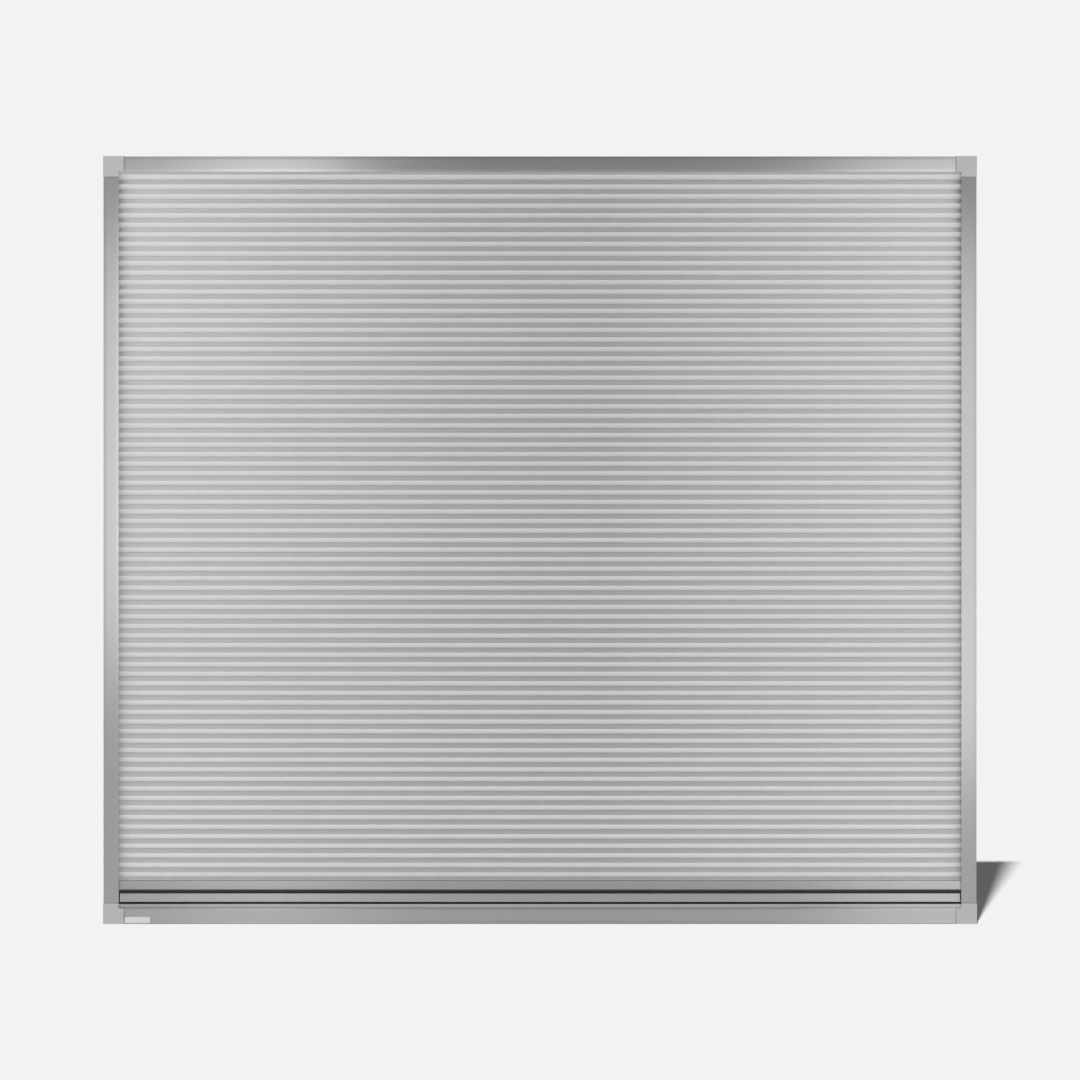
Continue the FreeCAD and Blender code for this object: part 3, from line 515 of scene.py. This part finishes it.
def polypropylene_pile(value):
    """Siliconised polypropylene pile: soft tufts of lighter and darker strands."""
    def patterns(tree, place):
        stretch = (per_mm(0.3), per_mm(4), per_mm(0.3))
        hairs = add(tree, "Mapping", {"Scale": stretch}, {"Vector": place})
        strands = add(tree, "TexNoise", {"Scale": 1, "Detail": 2}, {"Vector": hairs})
        return {"Base Color": strands, "Normal": strands}
    return new_material("polypropylene_pile", value, (-0.35, 0.2), patterns,
                        bump=relief(0.6, 0.05), shader={"Roughness": 0.85, "IOR": 1.49})


def braided_polyester(value):
    """Braided polyester cord: a fine herringbone of crossing strands, slightly shiny."""
    def patterns(tree, place):
        strands = []
        for turn in (math.radians(35), math.radians(-35)):
            turned = add(tree, "Mapping", {"Rotation": (turn, 0, turn)}, {"Vector": place})
            strands.append(add(tree, "TexWave", {"Scale": band_scale(1.2), "Distortion": 0.4},
                               {"Vector": turned}, bands_direction="DIAGONAL").outputs["Fac"])
        braid = add(tree, "Math", links={0: strands[0], 1: strands[1]}, operation="MULTIPLY")
        return {"Base Color": braid, "Normal": braid}
    return new_material("braided_polyester_cord", value, (-0.25, 0.05), patterns,
                        bump=relief(0.6, 0.05), shader={"Roughness": 0.6})


def drawn_steel(name, value, roughness):
    """Drawn or headed steel, zinc plated: grey and slightly cloudy."""
    def patterns(tree, place):
        cloud = add(tree, "TexNoise", {"Scale": per_mm(1.2), "Detail": 4}, {"Vector": place})
        return {"Base Color": cloud, "Roughness": cloud}
    return new_material(name, value, (-0.12, 0.08), patterns, around(roughness, 0.08, 0.1),
                        shader={"Metallic": 1})


# Frame

def crowned(piece, node, sizes):
    """Lets a profile fall in towards its edges a little; the bottom one leans out at its foot."""
    low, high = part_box(node)
    axis = 0 if node in ("profile_left", "profile_right") else 2
    edge, inward = (high, -1) if node in ("profile_right", "profile_top") else (low, 1)
    width = high[axis] - low[axis]
    edge_drop = -sizes.sill_edge_rise if node == "profile_bottom" else sizes.face_drop
    steps = 4
    shares = [step / steps for step in range(steps + 1)]
    lines = [(sizes.face_curve * share, edge_drop * (1 - share) ** 2) for share in shares]
    lines += [(width - sizes.lip_curve * share, sizes.lip_drop * (1 - share) ** 2)
              for share in shares]
    for place, _ in lines:
        if 0 < place < width:
            cut(piece, axis, edge[axis] + inward * place)
    for place, drop in lines:
        line = edge[axis] + inward * place
        for side in (-1, 1):
            move(piece, lambda item: (abs(item.co.y - side * high.y) < NEAR
                                      and abs(item.co[axis] - line) < ROUGHLY),
                 (0, -side * drop, 0))


class BLIND_OT_profiles(bpy.types.Operator):
    """Finish the four frame profiles"""
    bl_idname = "blind.profiles"
    bl_label = "Frame profiles"

    def execute(self, context):
        sizes, colours = chosen(context)
        for where, along in (("left", "Z"), ("right", "Z"), ("top", "X"), ("bottom", "X")):
            node = f"profile_{where}"
            piece = merged_copy(node, f"frame_{where}")
            crowned(piece, node, sizes)
            # Both ends are drawn in a little, so that the joints show as fine lines
            axis, gap = (0, sizes.joint_gap) if along == "X" else (2, sizes.side_gap)
            for end, sense in zip(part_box(node), (1, -1)):
                move(piece, lambda item: abs(item.co[axis] - end[axis]) < NEAR,
                     along_axis(axis, sense * gap))
            bevelled(piece, sizes.metal_edge)
            metal = anodised_aluminium(f"anodised_profile_{along.lower()}", colours.aluminium,
                                       along)
            finished(piece, "frame", metal, "frame_aluminium", node)
        return {"FINISHED"}


class BLIND_OT_corners(bpy.types.Operator):
    """Finish the four moulded corner pieces"""
    bl_idname = "blind.corners"
    bl_label = "Corner pieces"

    def execute(self, context):
        sizes, colours = chosen(context)
        plastic = moulded("moulded_corner_plastic", colours.plastic, 0.55)
        for level in ("top", "bottom"):
            for side in ("left", "right"):
                node = f"corner_{level}_{side}"
                refined(node, f"moulded_{node}", "frame", plastic, "corner_plastic",
                        sizes.moulded_edge, segments=3)
        return {"FINISHED"}


class BLIND_OT_plate(bpy.types.Operator):
    """Model the blank plate on the bottom profile"""
    bl_idname = "blind.plate"
    bl_label = "Blank plate"

    def execute(self, context):
        sizes, colours = chosen(context)
        piece = block("blank_plate", *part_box("badge_plate"))
        round_edges(piece, sizes.plate_corner, lambda start, end: (
            abs(start.x - end.x) < MM and abs(start.z - end.z) < MM))
        # A shallow field inside a raised rim, left blank
        sink(piece, sizes.plate_field, (sizes.plate_rim, sizes.plate_ramp),
             lambda item: item.normal.y < -0.9)
        bevelled(piece, sizes.plate_edge)
        lacquer = moulded("lacquered_plate", colours.plate, 0.45, 0.005)
        finished(piece, "frame", lacquer, "badge_metal", "badge_plate")
        return {"FINISHED"}


class BLIND_OT_sill(bpy.types.Operator):
    """Finish the strip that stands behind the bottom profile's lip"""
    bl_idname = "blind.sill"
    bl_label = "Sill strip"

    def execute(self, context):
        sizes, colours = chosen(context)
        piece = merged_copy("sill_strip", "sill_channel")
        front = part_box("bar_rail")[0].y
        move(piece, lambda item: abs(item.co.y - front) < ROUGHLY, (0, -sizes.sill_advance, 0))
        bevelled(piece, sizes.metal_edge)
        metal = anodised_aluminium("bright_anodised_sill", colours.sill, "X", 0.3)
        finished(piece, "frame", metal, "hidden_aluminium", "sill_strip")
        return {"FINISHED"}


class BLIND_OT_piles(bpy.types.Operator):
    """Model the pile strips inside the side lips"""
    bl_idname = "blind.piles"
    bl_label = "Pile strips"

    def execute(self, context):
        sizes, colours = chosen(context)
        hair = polypropylene_pile(colours.pile)
        for side in ("left", "right"):
            for face, sense in (("front", 1), ("rear", -1)):
                self.strip(side, face, sense, sizes, hair)
        return {"FINISHED"}

    def strip(self, side, face, sense, sizes, hair):
        """A backing with tufts, whose sense is the way along Y that the tufts point."""
        columns, root_share, tip_share = 5, 0.62, 0.3
        backing, overlap, stray = 1.0 * MM, 0.1 * MM, 0.35 * MM
        node = f"pile_{face}_{side}"
        low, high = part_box(node)
        outer, inner = (low.y, high.y)[::sense]
        root = outer + sense * backing
        near, far = sorted((outer, root))
        piece = block(f"pile_strip_{face}_{side}", (low.x, near, low.z), (high.x, far, high.z))
        bevelled(piece, sizes.pile_edge)
        # The tufts lean out past the lip and close the gap beside the fabric; their dark grey there
        # paints a line of shade.
        if side == "left":
            high.x += sizes.shade_line_lean
        else:
            low.x -= sizes.shade_line_lean
        # A quarter of a column's width is left over at each side
        wide = (high.x - low.x) / (columns + 0.5)
        bpy.ops.mesh.primitive_cone_add(
            vertices=5, radius1=wide * root_share, radius2=wide * tip_share,
            depth=abs(inner - root) + overlap, rotation=(-sense * math.pi / 2, 0, 0),
            location=(low.x + wide * 0.75, (root + inner) / 2 - sense * overlap / 2,
                      low.z + sizes.tuft_step / 2))
        tuft = placed("tuft")
        rows = int((high.z - low.z) / sizes.tuft_step)
        for count, step in ((columns, (wide, 0, 0)), (rows, (0, 0, sizes.tuft_step))):
            modify(tuft, "ARRAY", count=count, use_relative_offset=False,
                   use_constant_offset=True, constant_offset_displace=step)
        # The free ends stray a little, and stay clear of the fabric
        pick(tuft, "VERT", lambda item: abs(item.co.y - inner) < 0.2 * MM)
        bpy.ops.transform.vertex_random(offset=stray, seed=len(node) + ord(side[0]))
        editing(False)
        only(piece)
        tuft.select_set(True)
        bpy.ops.object.join()
        finished(piece, "frame", hair, "pile", node)


# Fabric

def rounded(corners, cuts):
    """An outline of (y, z) corners, each turned into a curve that starts its cut away."""
    steps = 3
    points = []
    for index, (corner, reach) in enumerate(zip(corners, cuts)):
        here = Vector(corner)
        before, after = Vector(corners[index - 1]), Vector(corners[(index + 1) % len(corners)])
        start = here + (before - here).normalized() * reach
        end = here + (after - here).normalized() * reach
        for step in range(steps + 1):
            share = step / steps
            points.append(start.lerp(here, share).lerp(here.lerp(end, share), share))
    return points


def cloth_tubes(name, sections, half_length, spans):
    """Tubes of cloth along X, from outer and inner outlines, with a map in metres of cloth."""
    stations = [-half_length + 2 * half_length * span / spans for span in range(spans + 1)]
    verts, faces, flat = [], [], []
    for outer, inner in sections:
        count = len(outer)
        start = len(verts)
        for x in stations:
            verts += [(x, point.x, point.y) for point in outer + inner]
        way = [0]
        for index in range(count):
            way.append(way[-1] + (outer[(index + 1) % count] - outer[index]).length)

        def corner(span, ring, index):
            return start + (2 * span + ring) * count + index % count

        for span, (near, far) in enumerate(zip(stations, stations[1:])):
            for index in range(count):
                for ring, one, two in ((0, index, index + 1), (1, index + 1, index)):
                    faces.append((corner(span, ring, one), corner(span, ring, two),
                                  corner(span + 1, ring, two), corner(span + 1, ring, one)))
                    flat += [(near, way[one]), (near, way[two]), (far, way[two]), (far, way[one])]
        for span, turn in ((0, 1), (spans, -1)):
            for index in range(count):
                rim = [corner(span, ring, index + step)
                       for ring, step in ((1, 0), (1, 1), (0, 1), (0, 0))]
                faces.append(rim[::turn])
                flat += [(0, way[index])] * 4
    mesh = bpy.data.meshes.new(name)
    mesh.from_pydata(verts, [], faces)
    layer = mesh.uv_layers.new(name="cloth")
    for item, place in zip(layer.data, flat):
        item.uv = place
    return linked(name, mesh)


def mirrored(points):
    """An outline from its rear half."""
    return points + [(-y, z) for y, z in reversed(points)]


def end_cell(name, outer, inner, half_length, outer_round, inner_round):
    """A flattened cell at an end of the fabric, from the rear halves of its outlines."""
    outer, inner = mirrored(outer), mirrored(inner)
    section = (rounded(outer, [outer_round] * len(outer)),
               rounded(inner, [inner_round] * len(inner)))
    return cloth_tubes(name, [section], half_length, 2)


class BLIND_OT_fabric(bpy.types.Operator):
    """Model the honeycomb fabric: its open cells and the flattened cells at both ends"""
    bl_idname = "blind.fabric"
    bl_label = "Honeycomb fabric"

    def execute(self, context):
        sizes, colours = chosen(context)
        low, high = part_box("fabric")
        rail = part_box("bar_rail")[1]
        # The rails' walls, lips and half their mouths, and the cloth's clearance there
        wall, lip, mouth, gap = 1 * MM, 0.9 * MM, 3.4 * MM, 0.3 * MM
        # How high the lowest cell ends above the bar, and how much narrower a spread cell is
        tail_rise, spread = 4.7 * MM, 0.6 * MM
        top, bar_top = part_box("head_rail")[0].z, rail.z - sizes.rail_top_sink
        bottom = bar_top + tail_rise
        pitch = (top - bottom) / sizes.pleats
        glue, fold, cloth = sizes.glue_width / 2, high.y, sizes.cloth
        slope = (fold - glue) / (pitch / 2)
        inset = cloth * math.hypot(1, slope)
        glue_inside = glue - inset + slope * cloth
        cells = []
        for index in range(sizes.pleats):
            first, last = index == 0, index == sizes.pleats - 1
            middle = top - (index + 0.5) * pitch
            upper = top - index * pitch - (0 if first else sizes.sag)
            lower = top - (index + 1) * pitch - (0 if last else sizes.sag)
            outer = [(glue, upper), (fold, middle), (glue, lower)]
            inner = [(glue_inside, upper - cloth), (fold - inset, middle),
                     (glue_inside, lower + cloth)]
            cuts = [sizes.glue_round, sizes.fold_round, sizes.glue_round]
            if first:
                # The uppermost cell spreads out under the head rail before it hangs down
                below = top - gap - cloth / 2
                outer.insert(1, (fold - spread, below))
                inner.insert(1, (fold - spread - cloth, below - cloth))
                cuts.insert(1, sizes.glue_round)
            cuts += cuts[::-1]
            cells.append((rounded(mirrored(outer), cuts), rounded(mirrored(inner), cuts)))
        pieces = [cloth_tubes("fabric_cells", cells, high.x, 8)]

        # The end cells lie flat in the rails' channels
        end, slot = rail.y - wall - gap, mouth - gap
        head_low = top + lip + gap
        pieces.append(end_cell(
            "fabric_head",
            [(end, high.z), (end, head_low), (glue, head_low), (glue, top)],
            [(end - cloth, high.z - cloth), (end - cloth, head_low + cloth),
             (glue - cloth, head_low + cloth), (glue - 2 * cloth, head_low + 1.2 * cloth)],
            high.x, 0.1 * MM, 0.05 * MM))
        end_fold, bar_face = rail.y - spread, bar_top + gap
        bar_high, bar_low = bar_top - lip - gap, low.z - sizes.rail_top_sink
        pieces.append(end_cell(
            "fabric_tail",
            [(glue, bottom), (end_fold, bar_face + cloth / 2), (slot, bar_face - cloth / 2),
             (slot, bar_high), (end, bar_high), (end, bar_low)],
            [(glue_inside, bottom - cloth), (end_fold - 2 * cloth, bar_face + cloth),
             (slot - cloth, bar_face + cloth), (slot - cloth, bar_high - cloth),
             (end - cloth, bar_high - cloth), (end - cloth, bar_low + cloth)],
            high.x, 0.25 * MM, 0.25 * MM))

        material = blackout_cloth(colours.cloth)
        for piece, body in zip(pieces, ("frame", "frame", "bar")):
            outward(piece, merge=False)
            smooth(piece, 50)
            finished(piece, body, material, "blackout_cloth", "fabric")
        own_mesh(pieces[0])
        return {"FINISHED"}


# Bar

class BLIND_OT_bar(bpy.types.Operator):
    """Finish the bottom bar with its grip, caps, rubber lip and a strip in the groove whose dark
    grey is painted shade
    """
    bl_idname = "blind.bar"
    bl_label = "Bar and grip"

    def execute(self, context):
        sizes, colours = chosen(context)
        metal = anodised_aluminium("anodised_bar", colours.bar, "X")
        self.rail(sizes, metal)
        refined("handle_rail", "handle_box", "bar", metal, "bar_aluminium", sizes.metal_edge)
        self.grip(sizes, metal)
        rubber = extruded_rubber("extruded_rubber", colours.rubber, 0.6)
        refined("bar_seal", "rubber_lip", "bar", rubber, "seal_rubber", sizes.seal_edge)
        self.inlay(sizes, colours)
        plastic = moulded("moulded_grip_cap", colours.bar, 0.5)
        for side in ("left", "right"):
            node = f"grip_cap_{side}"
            piece = merged_copy(node, f"grip_end_{side}")
            low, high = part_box(node)
            move(piece, lambda item: item.co.z > (low.z + high.z) / 2, (0, 0, sizes.grip_rise))
            bevelled(piece, sizes.cap_edge, segments=4)
            finished(piece, "bar", plastic, "inner_plastic", node)
        return {"FINISHED"}

    def rail(self, sizes, metal):
        """The rail under the fabric, with its lower front and rear edges rounded."""
        piece = merged_copy("bar_rail", "bar_channel")
        low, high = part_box("bar_rail")
        middle = (low.z + high.z) / 2
        for upper, sink in ((True, sizes.rail_top_sink), (False, sizes.rail_foot_sink)):
            move(piece, lambda item: (item.co.z > middle) == upper, (0, 0, -sink))
        foot = low.z - sizes.rail_foot_sink
        round_edges(piece, sizes.rail_edge, lambda *ends: all(
            abs(abs(end.y) - high.y) < NEAR and end.z < foot + NEAR for end in ends))
        bevelled(piece, sizes.metal_edge)
        finished(piece, "bar", metal, "bar_aluminium", "bar_rail")

    def grip(self, sizes, metal):
        """The grip's face wall and the shelf behind it, in one extrusion."""
        face_low, face_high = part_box("grip_face")
        shelf_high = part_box("grip_shelf")[1]
        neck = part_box("grip_cap_left")[1].y
        top = face_high.z + sizes.grip_rise
        piece = block("grip_profile", face_low, (face_high.x, face_high.y, top))
        cut(piece, 2, shelf_high.z)
        pick(piece, "FACE", lambda item: item.normal.y > 0.9 and item.center.z < shelf_high.z)
        extend((0, neck - face_high.y, 0))
        extend((0, shelf_high.y - neck, 0))
        editing(False)
        for side in (-1, 1):
            pick(piece, "FACE", lambda item: item.normal.x * side > 0.9 and item.center.y > neck)
            extend((side * (shelf_high.x - face_high.x), 0, 0))
            editing(False)
        outward(piece)
        bevelled(piece, sizes.grip_edge, segments=3)
        finished(piece, "bar", metal, "bar_aluminium", "grip_face", "grip_shelf")

    def inlay(self, sizes, colours):
        """The strip in the finger groove, with two drawn grooves along it; its dark grey is painted
        shade.
        """
        low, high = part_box("groove_inlay")
        clearance, rim, depth = 0.1 * MM, 0.1 * MM, 0.2 * MM
        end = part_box("handle_rail")[1].x - clearance
        piece = block("groove_shade_strip", (-end, low.y, low.z), (end, high.y, high.z))
        # Where the grooves start and end, in shares of the strip's height
        grooves = ((0.3, 0.36), (0.64, 0.7))
        height = high.z - low.z
        for groove in grooves:
            for share in groove:
                cut(piece, 2, low.z + height * share)
        sink(piece, depth, [rim], lambda item: item.normal.y < -0.9 and any(
            start < (item.center.z - low.z) / height < stop for start, stop in grooves))
        bevelled(piece, sizes.inlay_edge)
        # Dark grey painted on the strip as the finger groove's shade
        black = extruded_rubber("painted_groove_shade", colours.inlay, 0.75)
        finished(piece, "bar", black, "inlay_black", "groove_inlay")


# Fittings inside the frame

class BLIND_OT_fittings(bpy.types.Operator):
    """Finish the head rail, gliders, caps, clips, anchors, strips, springs and screws"""
    bl_idname = "blind.fittings"
    bl_label = "Fittings"

    def execute(self, context):
        sizes, colours = chosen(context)
        metal = anodised_aluminium("anodised_bar", colours.bar, "X")
        refined("head_rail", "head_channel", "frame", metal, "hidden_aluminium",
                sizes.metal_edge)
        acetal = moulded("moulded_acetal_fitting", colours.fitting, 0.45)
        steel = drawn_steel("drawn_spring_steel", colours.spring, 0.35)
        bodies = {}
        for side in ("left", "right"):
            bodies[f"glider_{side}"] = "bar"
            bodies[f"head_cap_{side}"] = bodies[f"cord_anchor_{side}"] = "frame"
            coat(acetal, f"spring_plug_{side}", f"spring_anchor_{side}")
            coat(steel, f"spring_{side}")
        bodies["head_clips"] = "frame"
        for node, body in bodies.items():
            refined(node, f"moulded_{node}", body, acetal, "inner_plastic", sizes.fitting_edge)
        strip = moulded("extruded_strip_plastic", colours.strip, 0.5)
        coat(strip, "head_strip", "bar_strip")
        zinc = drawn_steel("zinc_plated_steel", colours.screw, 0.4)
        coat(zinc, "clip_screws", "anchor_screws", "glider_screws")
        return {"FINISHED"}


class BLIND_OT_cords(bpy.types.Operator):
    """Model the tension cords' upright runs and their turns into the head rail"""
    bl_idname = "blind.cords"
    bl_label = "Tension cords"

    def execute(self, context):
        sizes, colours = chosen(context)
        braid = braided_polyester(colours.cord)
        coat(braid, "cord_left_cross", "cord_right_cross")
        half = sizes.cord / 2
        for side, sign in (("left", -1), ("right", 1)):
            lower = f"cord_{side}_lower"
            low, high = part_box(lower)
            piece = self.upright(f"cord_run_{lower}", low, high, half)
            finished(piece, None, braid, "cord", lower)
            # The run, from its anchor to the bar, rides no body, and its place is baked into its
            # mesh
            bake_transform(piece)

            upper = f"cord_{side}_upper"
            low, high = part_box(upper)
            line = sign * (max(abs(low.x), abs(high.x)) - half)
            turn_radius = 4 * MM
            turn = high.z - half - turn_radius
            piece = self.upright(f"cord_run_{upper}", Vector((line - half, low.y, low.z)),
                                 Vector((line + half, high.y, turn)), half)
            finished(piece, "frame", braid, "cord", upper)
            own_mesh(piece)
            centre = (line - sign * turn_radius, (low.y + high.y) / 2, turn)
            plug = sign * min(abs(low.x), abs(high.x))
            piece = self.turned(f"cord_turn_{upper}", line, centre, plug, half)
            finished(piece, "frame", braid, "cord", upper)
        return {"FINISHED"}

    def upright(self, name, low, high, half):
        """A straight run between two corners of its box, cut into rings."""
        bpy.ops.mesh.primitive_cylinder_add(
            vertices=16, radius=half, depth=high.z - low.z, location=(low + high) / 2)
        piece = placed(name)
        rings = 12
        for ring in range(1, rings):
            cut(piece, 2, low.z + (high.z - low.z) * ring / rings)
        smooth(piece)
        return piece

    def turned(self, name, line, centre, plug, half):
        """The quarter turn above a run, about a centre, and the level stretch to its plug."""
        bpy.ops.mesh.primitive_circle_add(
            vertices=16, radius=half, fill_type="NGON", location=(line, *centre[1:]))
        piece = placed(name)
        pick_all(piece)
        bpy.ops.mesh.spin(steps=10, angle=math.pi / 2, center=centre,
                          axis=(0, -math.copysign(1, line), 0))
        extend((plug - centre[0], 0, 0))
        editing(False)
        outward(piece)
        smooth(piece)
        return piece


# Stage: the light's numbers come from comparing renders with the photograph

SUN_WAY, SUN_POWER, SUN_DEGREES = Vector((0.163, 1.53, -1.0)), 60, 1.35
# The floor's grey in the shadow, and what the world adds outside it
SHADOW_GREY, SKY_ON_FLOOR = 0.1, 0.158
# The light that the floor returns all over, and the strength and reach of its pools
BOUNCE, MIDDLE_POOL, SIDE_POOL = 0.8, (0.4, 0.959), (0.504, 0.469)
SIDE_POOL_OUT, POOL_STEEPNESS = 0.984, 3.4
FLAG_GLOW = 0.088
# The world's light on matte surfaces, little from in front and more from behind
WORLD_LIGHT = {"From Min": 0.2, "From Max": 0.8, "To Min": 0.01, "To Max": 0.75}
# Brightness, place, target, width and height. Two turn outwards, so that the blind's middle
# stays darker, two hang above its corners, and a dim one is before the bar's middle.
SOFTBOXES = {
    "softbox_left": (3.411, (-0.397, -0.847, 0.638), (-1.89, 0, 0.638), 0.484, 0.626),
    "softbox_right": (2.155, (0.579, -0.728, 0.558), (0.978, 0, 0.558), 0.364, 0.767),
    "softbox_high_left": (2.3, (-0.979, -0.465, 1.35), (-0.5, 0, 0.8), 0.6, 0.6),
    "softbox_high_right": (2.3, (0.979, -0.465, 1.35), (0.5, 0, 0.8), 0.6, 0.6),
    "softbox_low": (0.45, (0.03, -0.8, 0.13), (0.03, 0, 0.13), 0.62, 0.22),
}


def lamp(name, kind, power, place, target, **settings):
    """A lamp that points from its place at a target."""
    data = bpy.data.lights.new(name, kind)
    data.energy = power
    for key, value in settings.items():
        setattr(data, key, value)
    item = linked(name, data)
    item.location = place
    item.rotation_euler = (Vector(target) - Vector(place)).to_track_quat("-Z", "Y").to_euler()
    item.visible_camera = False
    return item


def softbox(name, radiance, place, target, width, height):
    """A soft panel of light. Its power is its brightness times its area times pi."""
    return lamp(name, "AREA", radiance * math.pi * width * height, place, target,
                shape="RECTANGLE", size=width, size_y=height)


def link_lights(floor, sun, softboxes):
    """Lets the sun light the floor alone, past all but the blind, and the softboxes the blind."""
    only_floor = bpy.data.collections.new("lit_floor")
    only_floor.objects.link(floor)
    blind = bpy.data.collections.new("lit_blind")
    for item in bpy.context.scene.objects:
        if item.type == "MESH" and item != floor:
            blind.objects.link(item)
    sun.light_linking.receiver_collection = only_floor
    sun.light_linking.blocker_collection = blind
    for item in softboxes:
        item.light_linking.receiver_collection = blind


def seen_or_mirrored(tree):
    """One for camera, mirrored and transmitted rays, nought for those that light matte faces."""
    rays = add(tree, "LightPath").outputs
    mirror = add(tree, "Math", links={0: rays["Is Glossy Ray"], 1: rays["Is Transmission Ray"]},
                 operation="MAXIMUM")
    return add(tree, "Math", links={0: rays["Is Camera Ray"], 1: mirror}, operation="MAXIMUM")


def pool(tree, place, strength, reach):
    """Light that is strongest at the middle of a place and fades past its reach."""
    away = add(tree, "VectorMath", links={0: place}, operation="LENGTH").outputs["Value"]
    spread = add(tree, "Math", {1: reach}, {0: away}, operation="DIVIDE")
    steep = add(tree, "Math", {1: POOL_STEEPNESS}, {0: spread}, operation="POWER")
    above = add(tree, "Math", {1: 1}, {0: steep}, operation="ADD")
    return add(tree, "Math", {0: strength}, {1: above}, operation="DIVIDE")


def pale_floor(value, sun_rise):
    """A pale floor: the sun lights it up to its written colour, and its shadow keeps a grey."""
    material = bpy.data.materials.new("pale_floor")
    tree = blank_tree(material)
    lit = (value[0] - SHADOW_GREY) / (SUN_POWER * sun_rise / math.pi + SKY_ON_FLOOR)
    seen = add(tree, "AddShader", links={
        0: add(tree, "BsdfDiffuse", {"Color": (lit, lit, lit, 1)}),
        1: add(tree, "Emission", {"Color": WHITE, "Strength": SHADOW_GREY})})
    # What matte surfaces get: a middle pool of light and one beside each end of the blind
    place = add(tree, "TexCoord").outputs["Object"]
    folded = add(tree, "VectorMath", links={0: place}, operation="ABSOLUTE")
    sides = add(tree, "VectorMath", {1: (SIDE_POOL_OUT, 0, 0)}, {0: folded},
                operation="SUBTRACT")
    pools = add(tree, "Math", operation="ADD", links={
        0: pool(tree, place, *MIDDLE_POOL), 1: pool(tree, sides, *SIDE_POOL)})
    strength = add(tree, "Math", {1: BOUNCE}, {0: pools}, operation="ADD")
    bounce = add(tree, "Emission", {"Color": WHITE}, {"Strength": strength})
    mixed = add(tree, "MixShader", links={0: seen_or_mirrored(tree), 1: bounce, 2: seen})
    add(tree, "OutputMaterial", links={"Surface": mixed})
    material.cycles.emission_sampling = "NONE"
    return material


class BLIND_OT_stage(bpy.types.Operator):
    """Set up the floor, the studio light and the camera"""
    bl_idname = "blind.stage"
    bl_label = "Stage"

    def execute(self, context):
        sizes, colours = chosen(context)
        low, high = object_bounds()
        bpy.ops.mesh.primitive_plane_add(size=80, location=(0, 0, low.z))
        floor = bpy.context.active_object
        floor.name = "studio_floor"
        floor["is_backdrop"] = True
        floor.data.materials.append(pale_floor(colours.floor, -SUN_WAY.normalized().z))
        sun = lamp("floor_sun", "SUN", SUN_POWER, -10 * SUN_WAY, (0, 0, 0),
                   angle=math.radians(SUN_DEGREES))
        # The flag comes after the links, so that it neither blocks the sun nor is lit
        link_lights(floor, sun, [softbox(name, *box) for name, box in SOFTBOXES.items()])
        self.flag()
        self.world(colours)
        self.camera(sizes, low, high)
        context.scene.view_settings.view_transform = "Standard"
        return {"FINISHED"}

    def flag(self):
        """A black cloth wall behind the camera, which the front of the metal mirrors."""
        bpy.ops.mesh.primitive_plane_add(size=60, rotation=(math.pi / 2, 0, 0),
                                         location=(0, -10, 30))
        flag = placed("studio_flag")
        material = bpy.data.materials.new("black_flag_cloth")
        tree = blank_tree(material)
        glow = add(tree, "Emission", {"Color": WHITE, "Strength": FLAG_GLOW})
        add(tree, "OutputMaterial", links={"Surface": glow})
        material.cycles.emission_sampling = "NONE"
        flag.data.materials.append(material)
        flag.visible_camera = flag.visible_diffuse = flag.visible_transmission = False
        flag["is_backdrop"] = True

    def world(self, colours):
        """Pale when seen or mirrored, and darker to matte surfaces."""
        world = bpy.data.worlds.new("studio")
        bpy.context.scene.world = world
        tree = blank_tree(world)
        way = add(tree, "SeparateXYZ", links={0: add(tree, "TexCoord").outputs["Generated"]})
        behind = add(tree, "MapRange", WORLD_LIGHT, {"Value": way.outputs["Y"]})
        matte = add(tree, "Background", {"Color": WHITE}, {"Strength": behind})
        seen = add(tree, "Background", {"Color": (*colours.floor, 1), "Strength": 1})
        mixed = add(tree, "MixShader", links={0: seen_or_mirrored(tree), 1: matte, 2: seen})
        add(tree, "OutputWorld", links={"Surface": mixed})

    def camera(self, sizes, low, high):
        """Level, straight in front of the middle of the frame."""
        data = bpy.data.cameras.new("front_view")
        data.sensor_width = 36
        data.lens = data.sensor_width * sizes.view_distance / sizes.view_width
        data.clip_end = 100
        item = linked("front_view", data)
        middle = (low + high) / 2
        item.location = (middle.x, low.y - sizes.view_distance, middle.z)
        item.rotation_euler = (math.pi / 2, 0, 0)
        bpy.context.scene.camera = item


class BLIND_PT_panel(bpy.types.Panel):
    """The blind's steps, sizes and colours"""
    bl_idname = "BLIND_PT_panel"
    bl_label = "Blackout blind"
    bl_space_type = "VIEW_3D"
    bl_region_type = "UI"
    bl_category = "Blind"

    def draw(self, context):
        for step in STEPS:
            self.layout.operator(step.bl_idname)
        for group in chosen(context):
            for name in group.bl_rna.properties.keys():
                if name not in ("rna_type", "name"):
                    self.layout.prop(group, name)


STEPS = (
    BLIND_OT_profiles, BLIND_OT_corners, BLIND_OT_plate, BLIND_OT_sill, BLIND_OT_piles,
    BLIND_OT_fabric, BLIND_OT_bar, BLIND_OT_fittings, BLIND_OT_cords, BLIND_OT_stage,
)
CLASSES = (BlindSizes, BlindColours) + STEPS + (BLIND_PT_panel,)


def register():
    for item in CLASSES:
        bpy.utils.register_class(item)
    bpy.types.Scene.blind_sizes = bpy.props.PointerProperty(type=BlindSizes)
    bpy.types.Scene.blind_colours = bpy.props.PointerProperty(type=BlindColours)


def unregister():
    del bpy.types.Scene.blind_colours
    del bpy.types.Scene.blind_sizes
    for item in reversed(CLASSES):
        bpy.utils.unregister_class(item)


def main():
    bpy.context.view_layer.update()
    register()
    for step in STEPS:
        group, name = step.bl_idname.split(".")
        getattr(getattr(bpy.ops, group), name)()


if __name__ == "__main__":
    main()
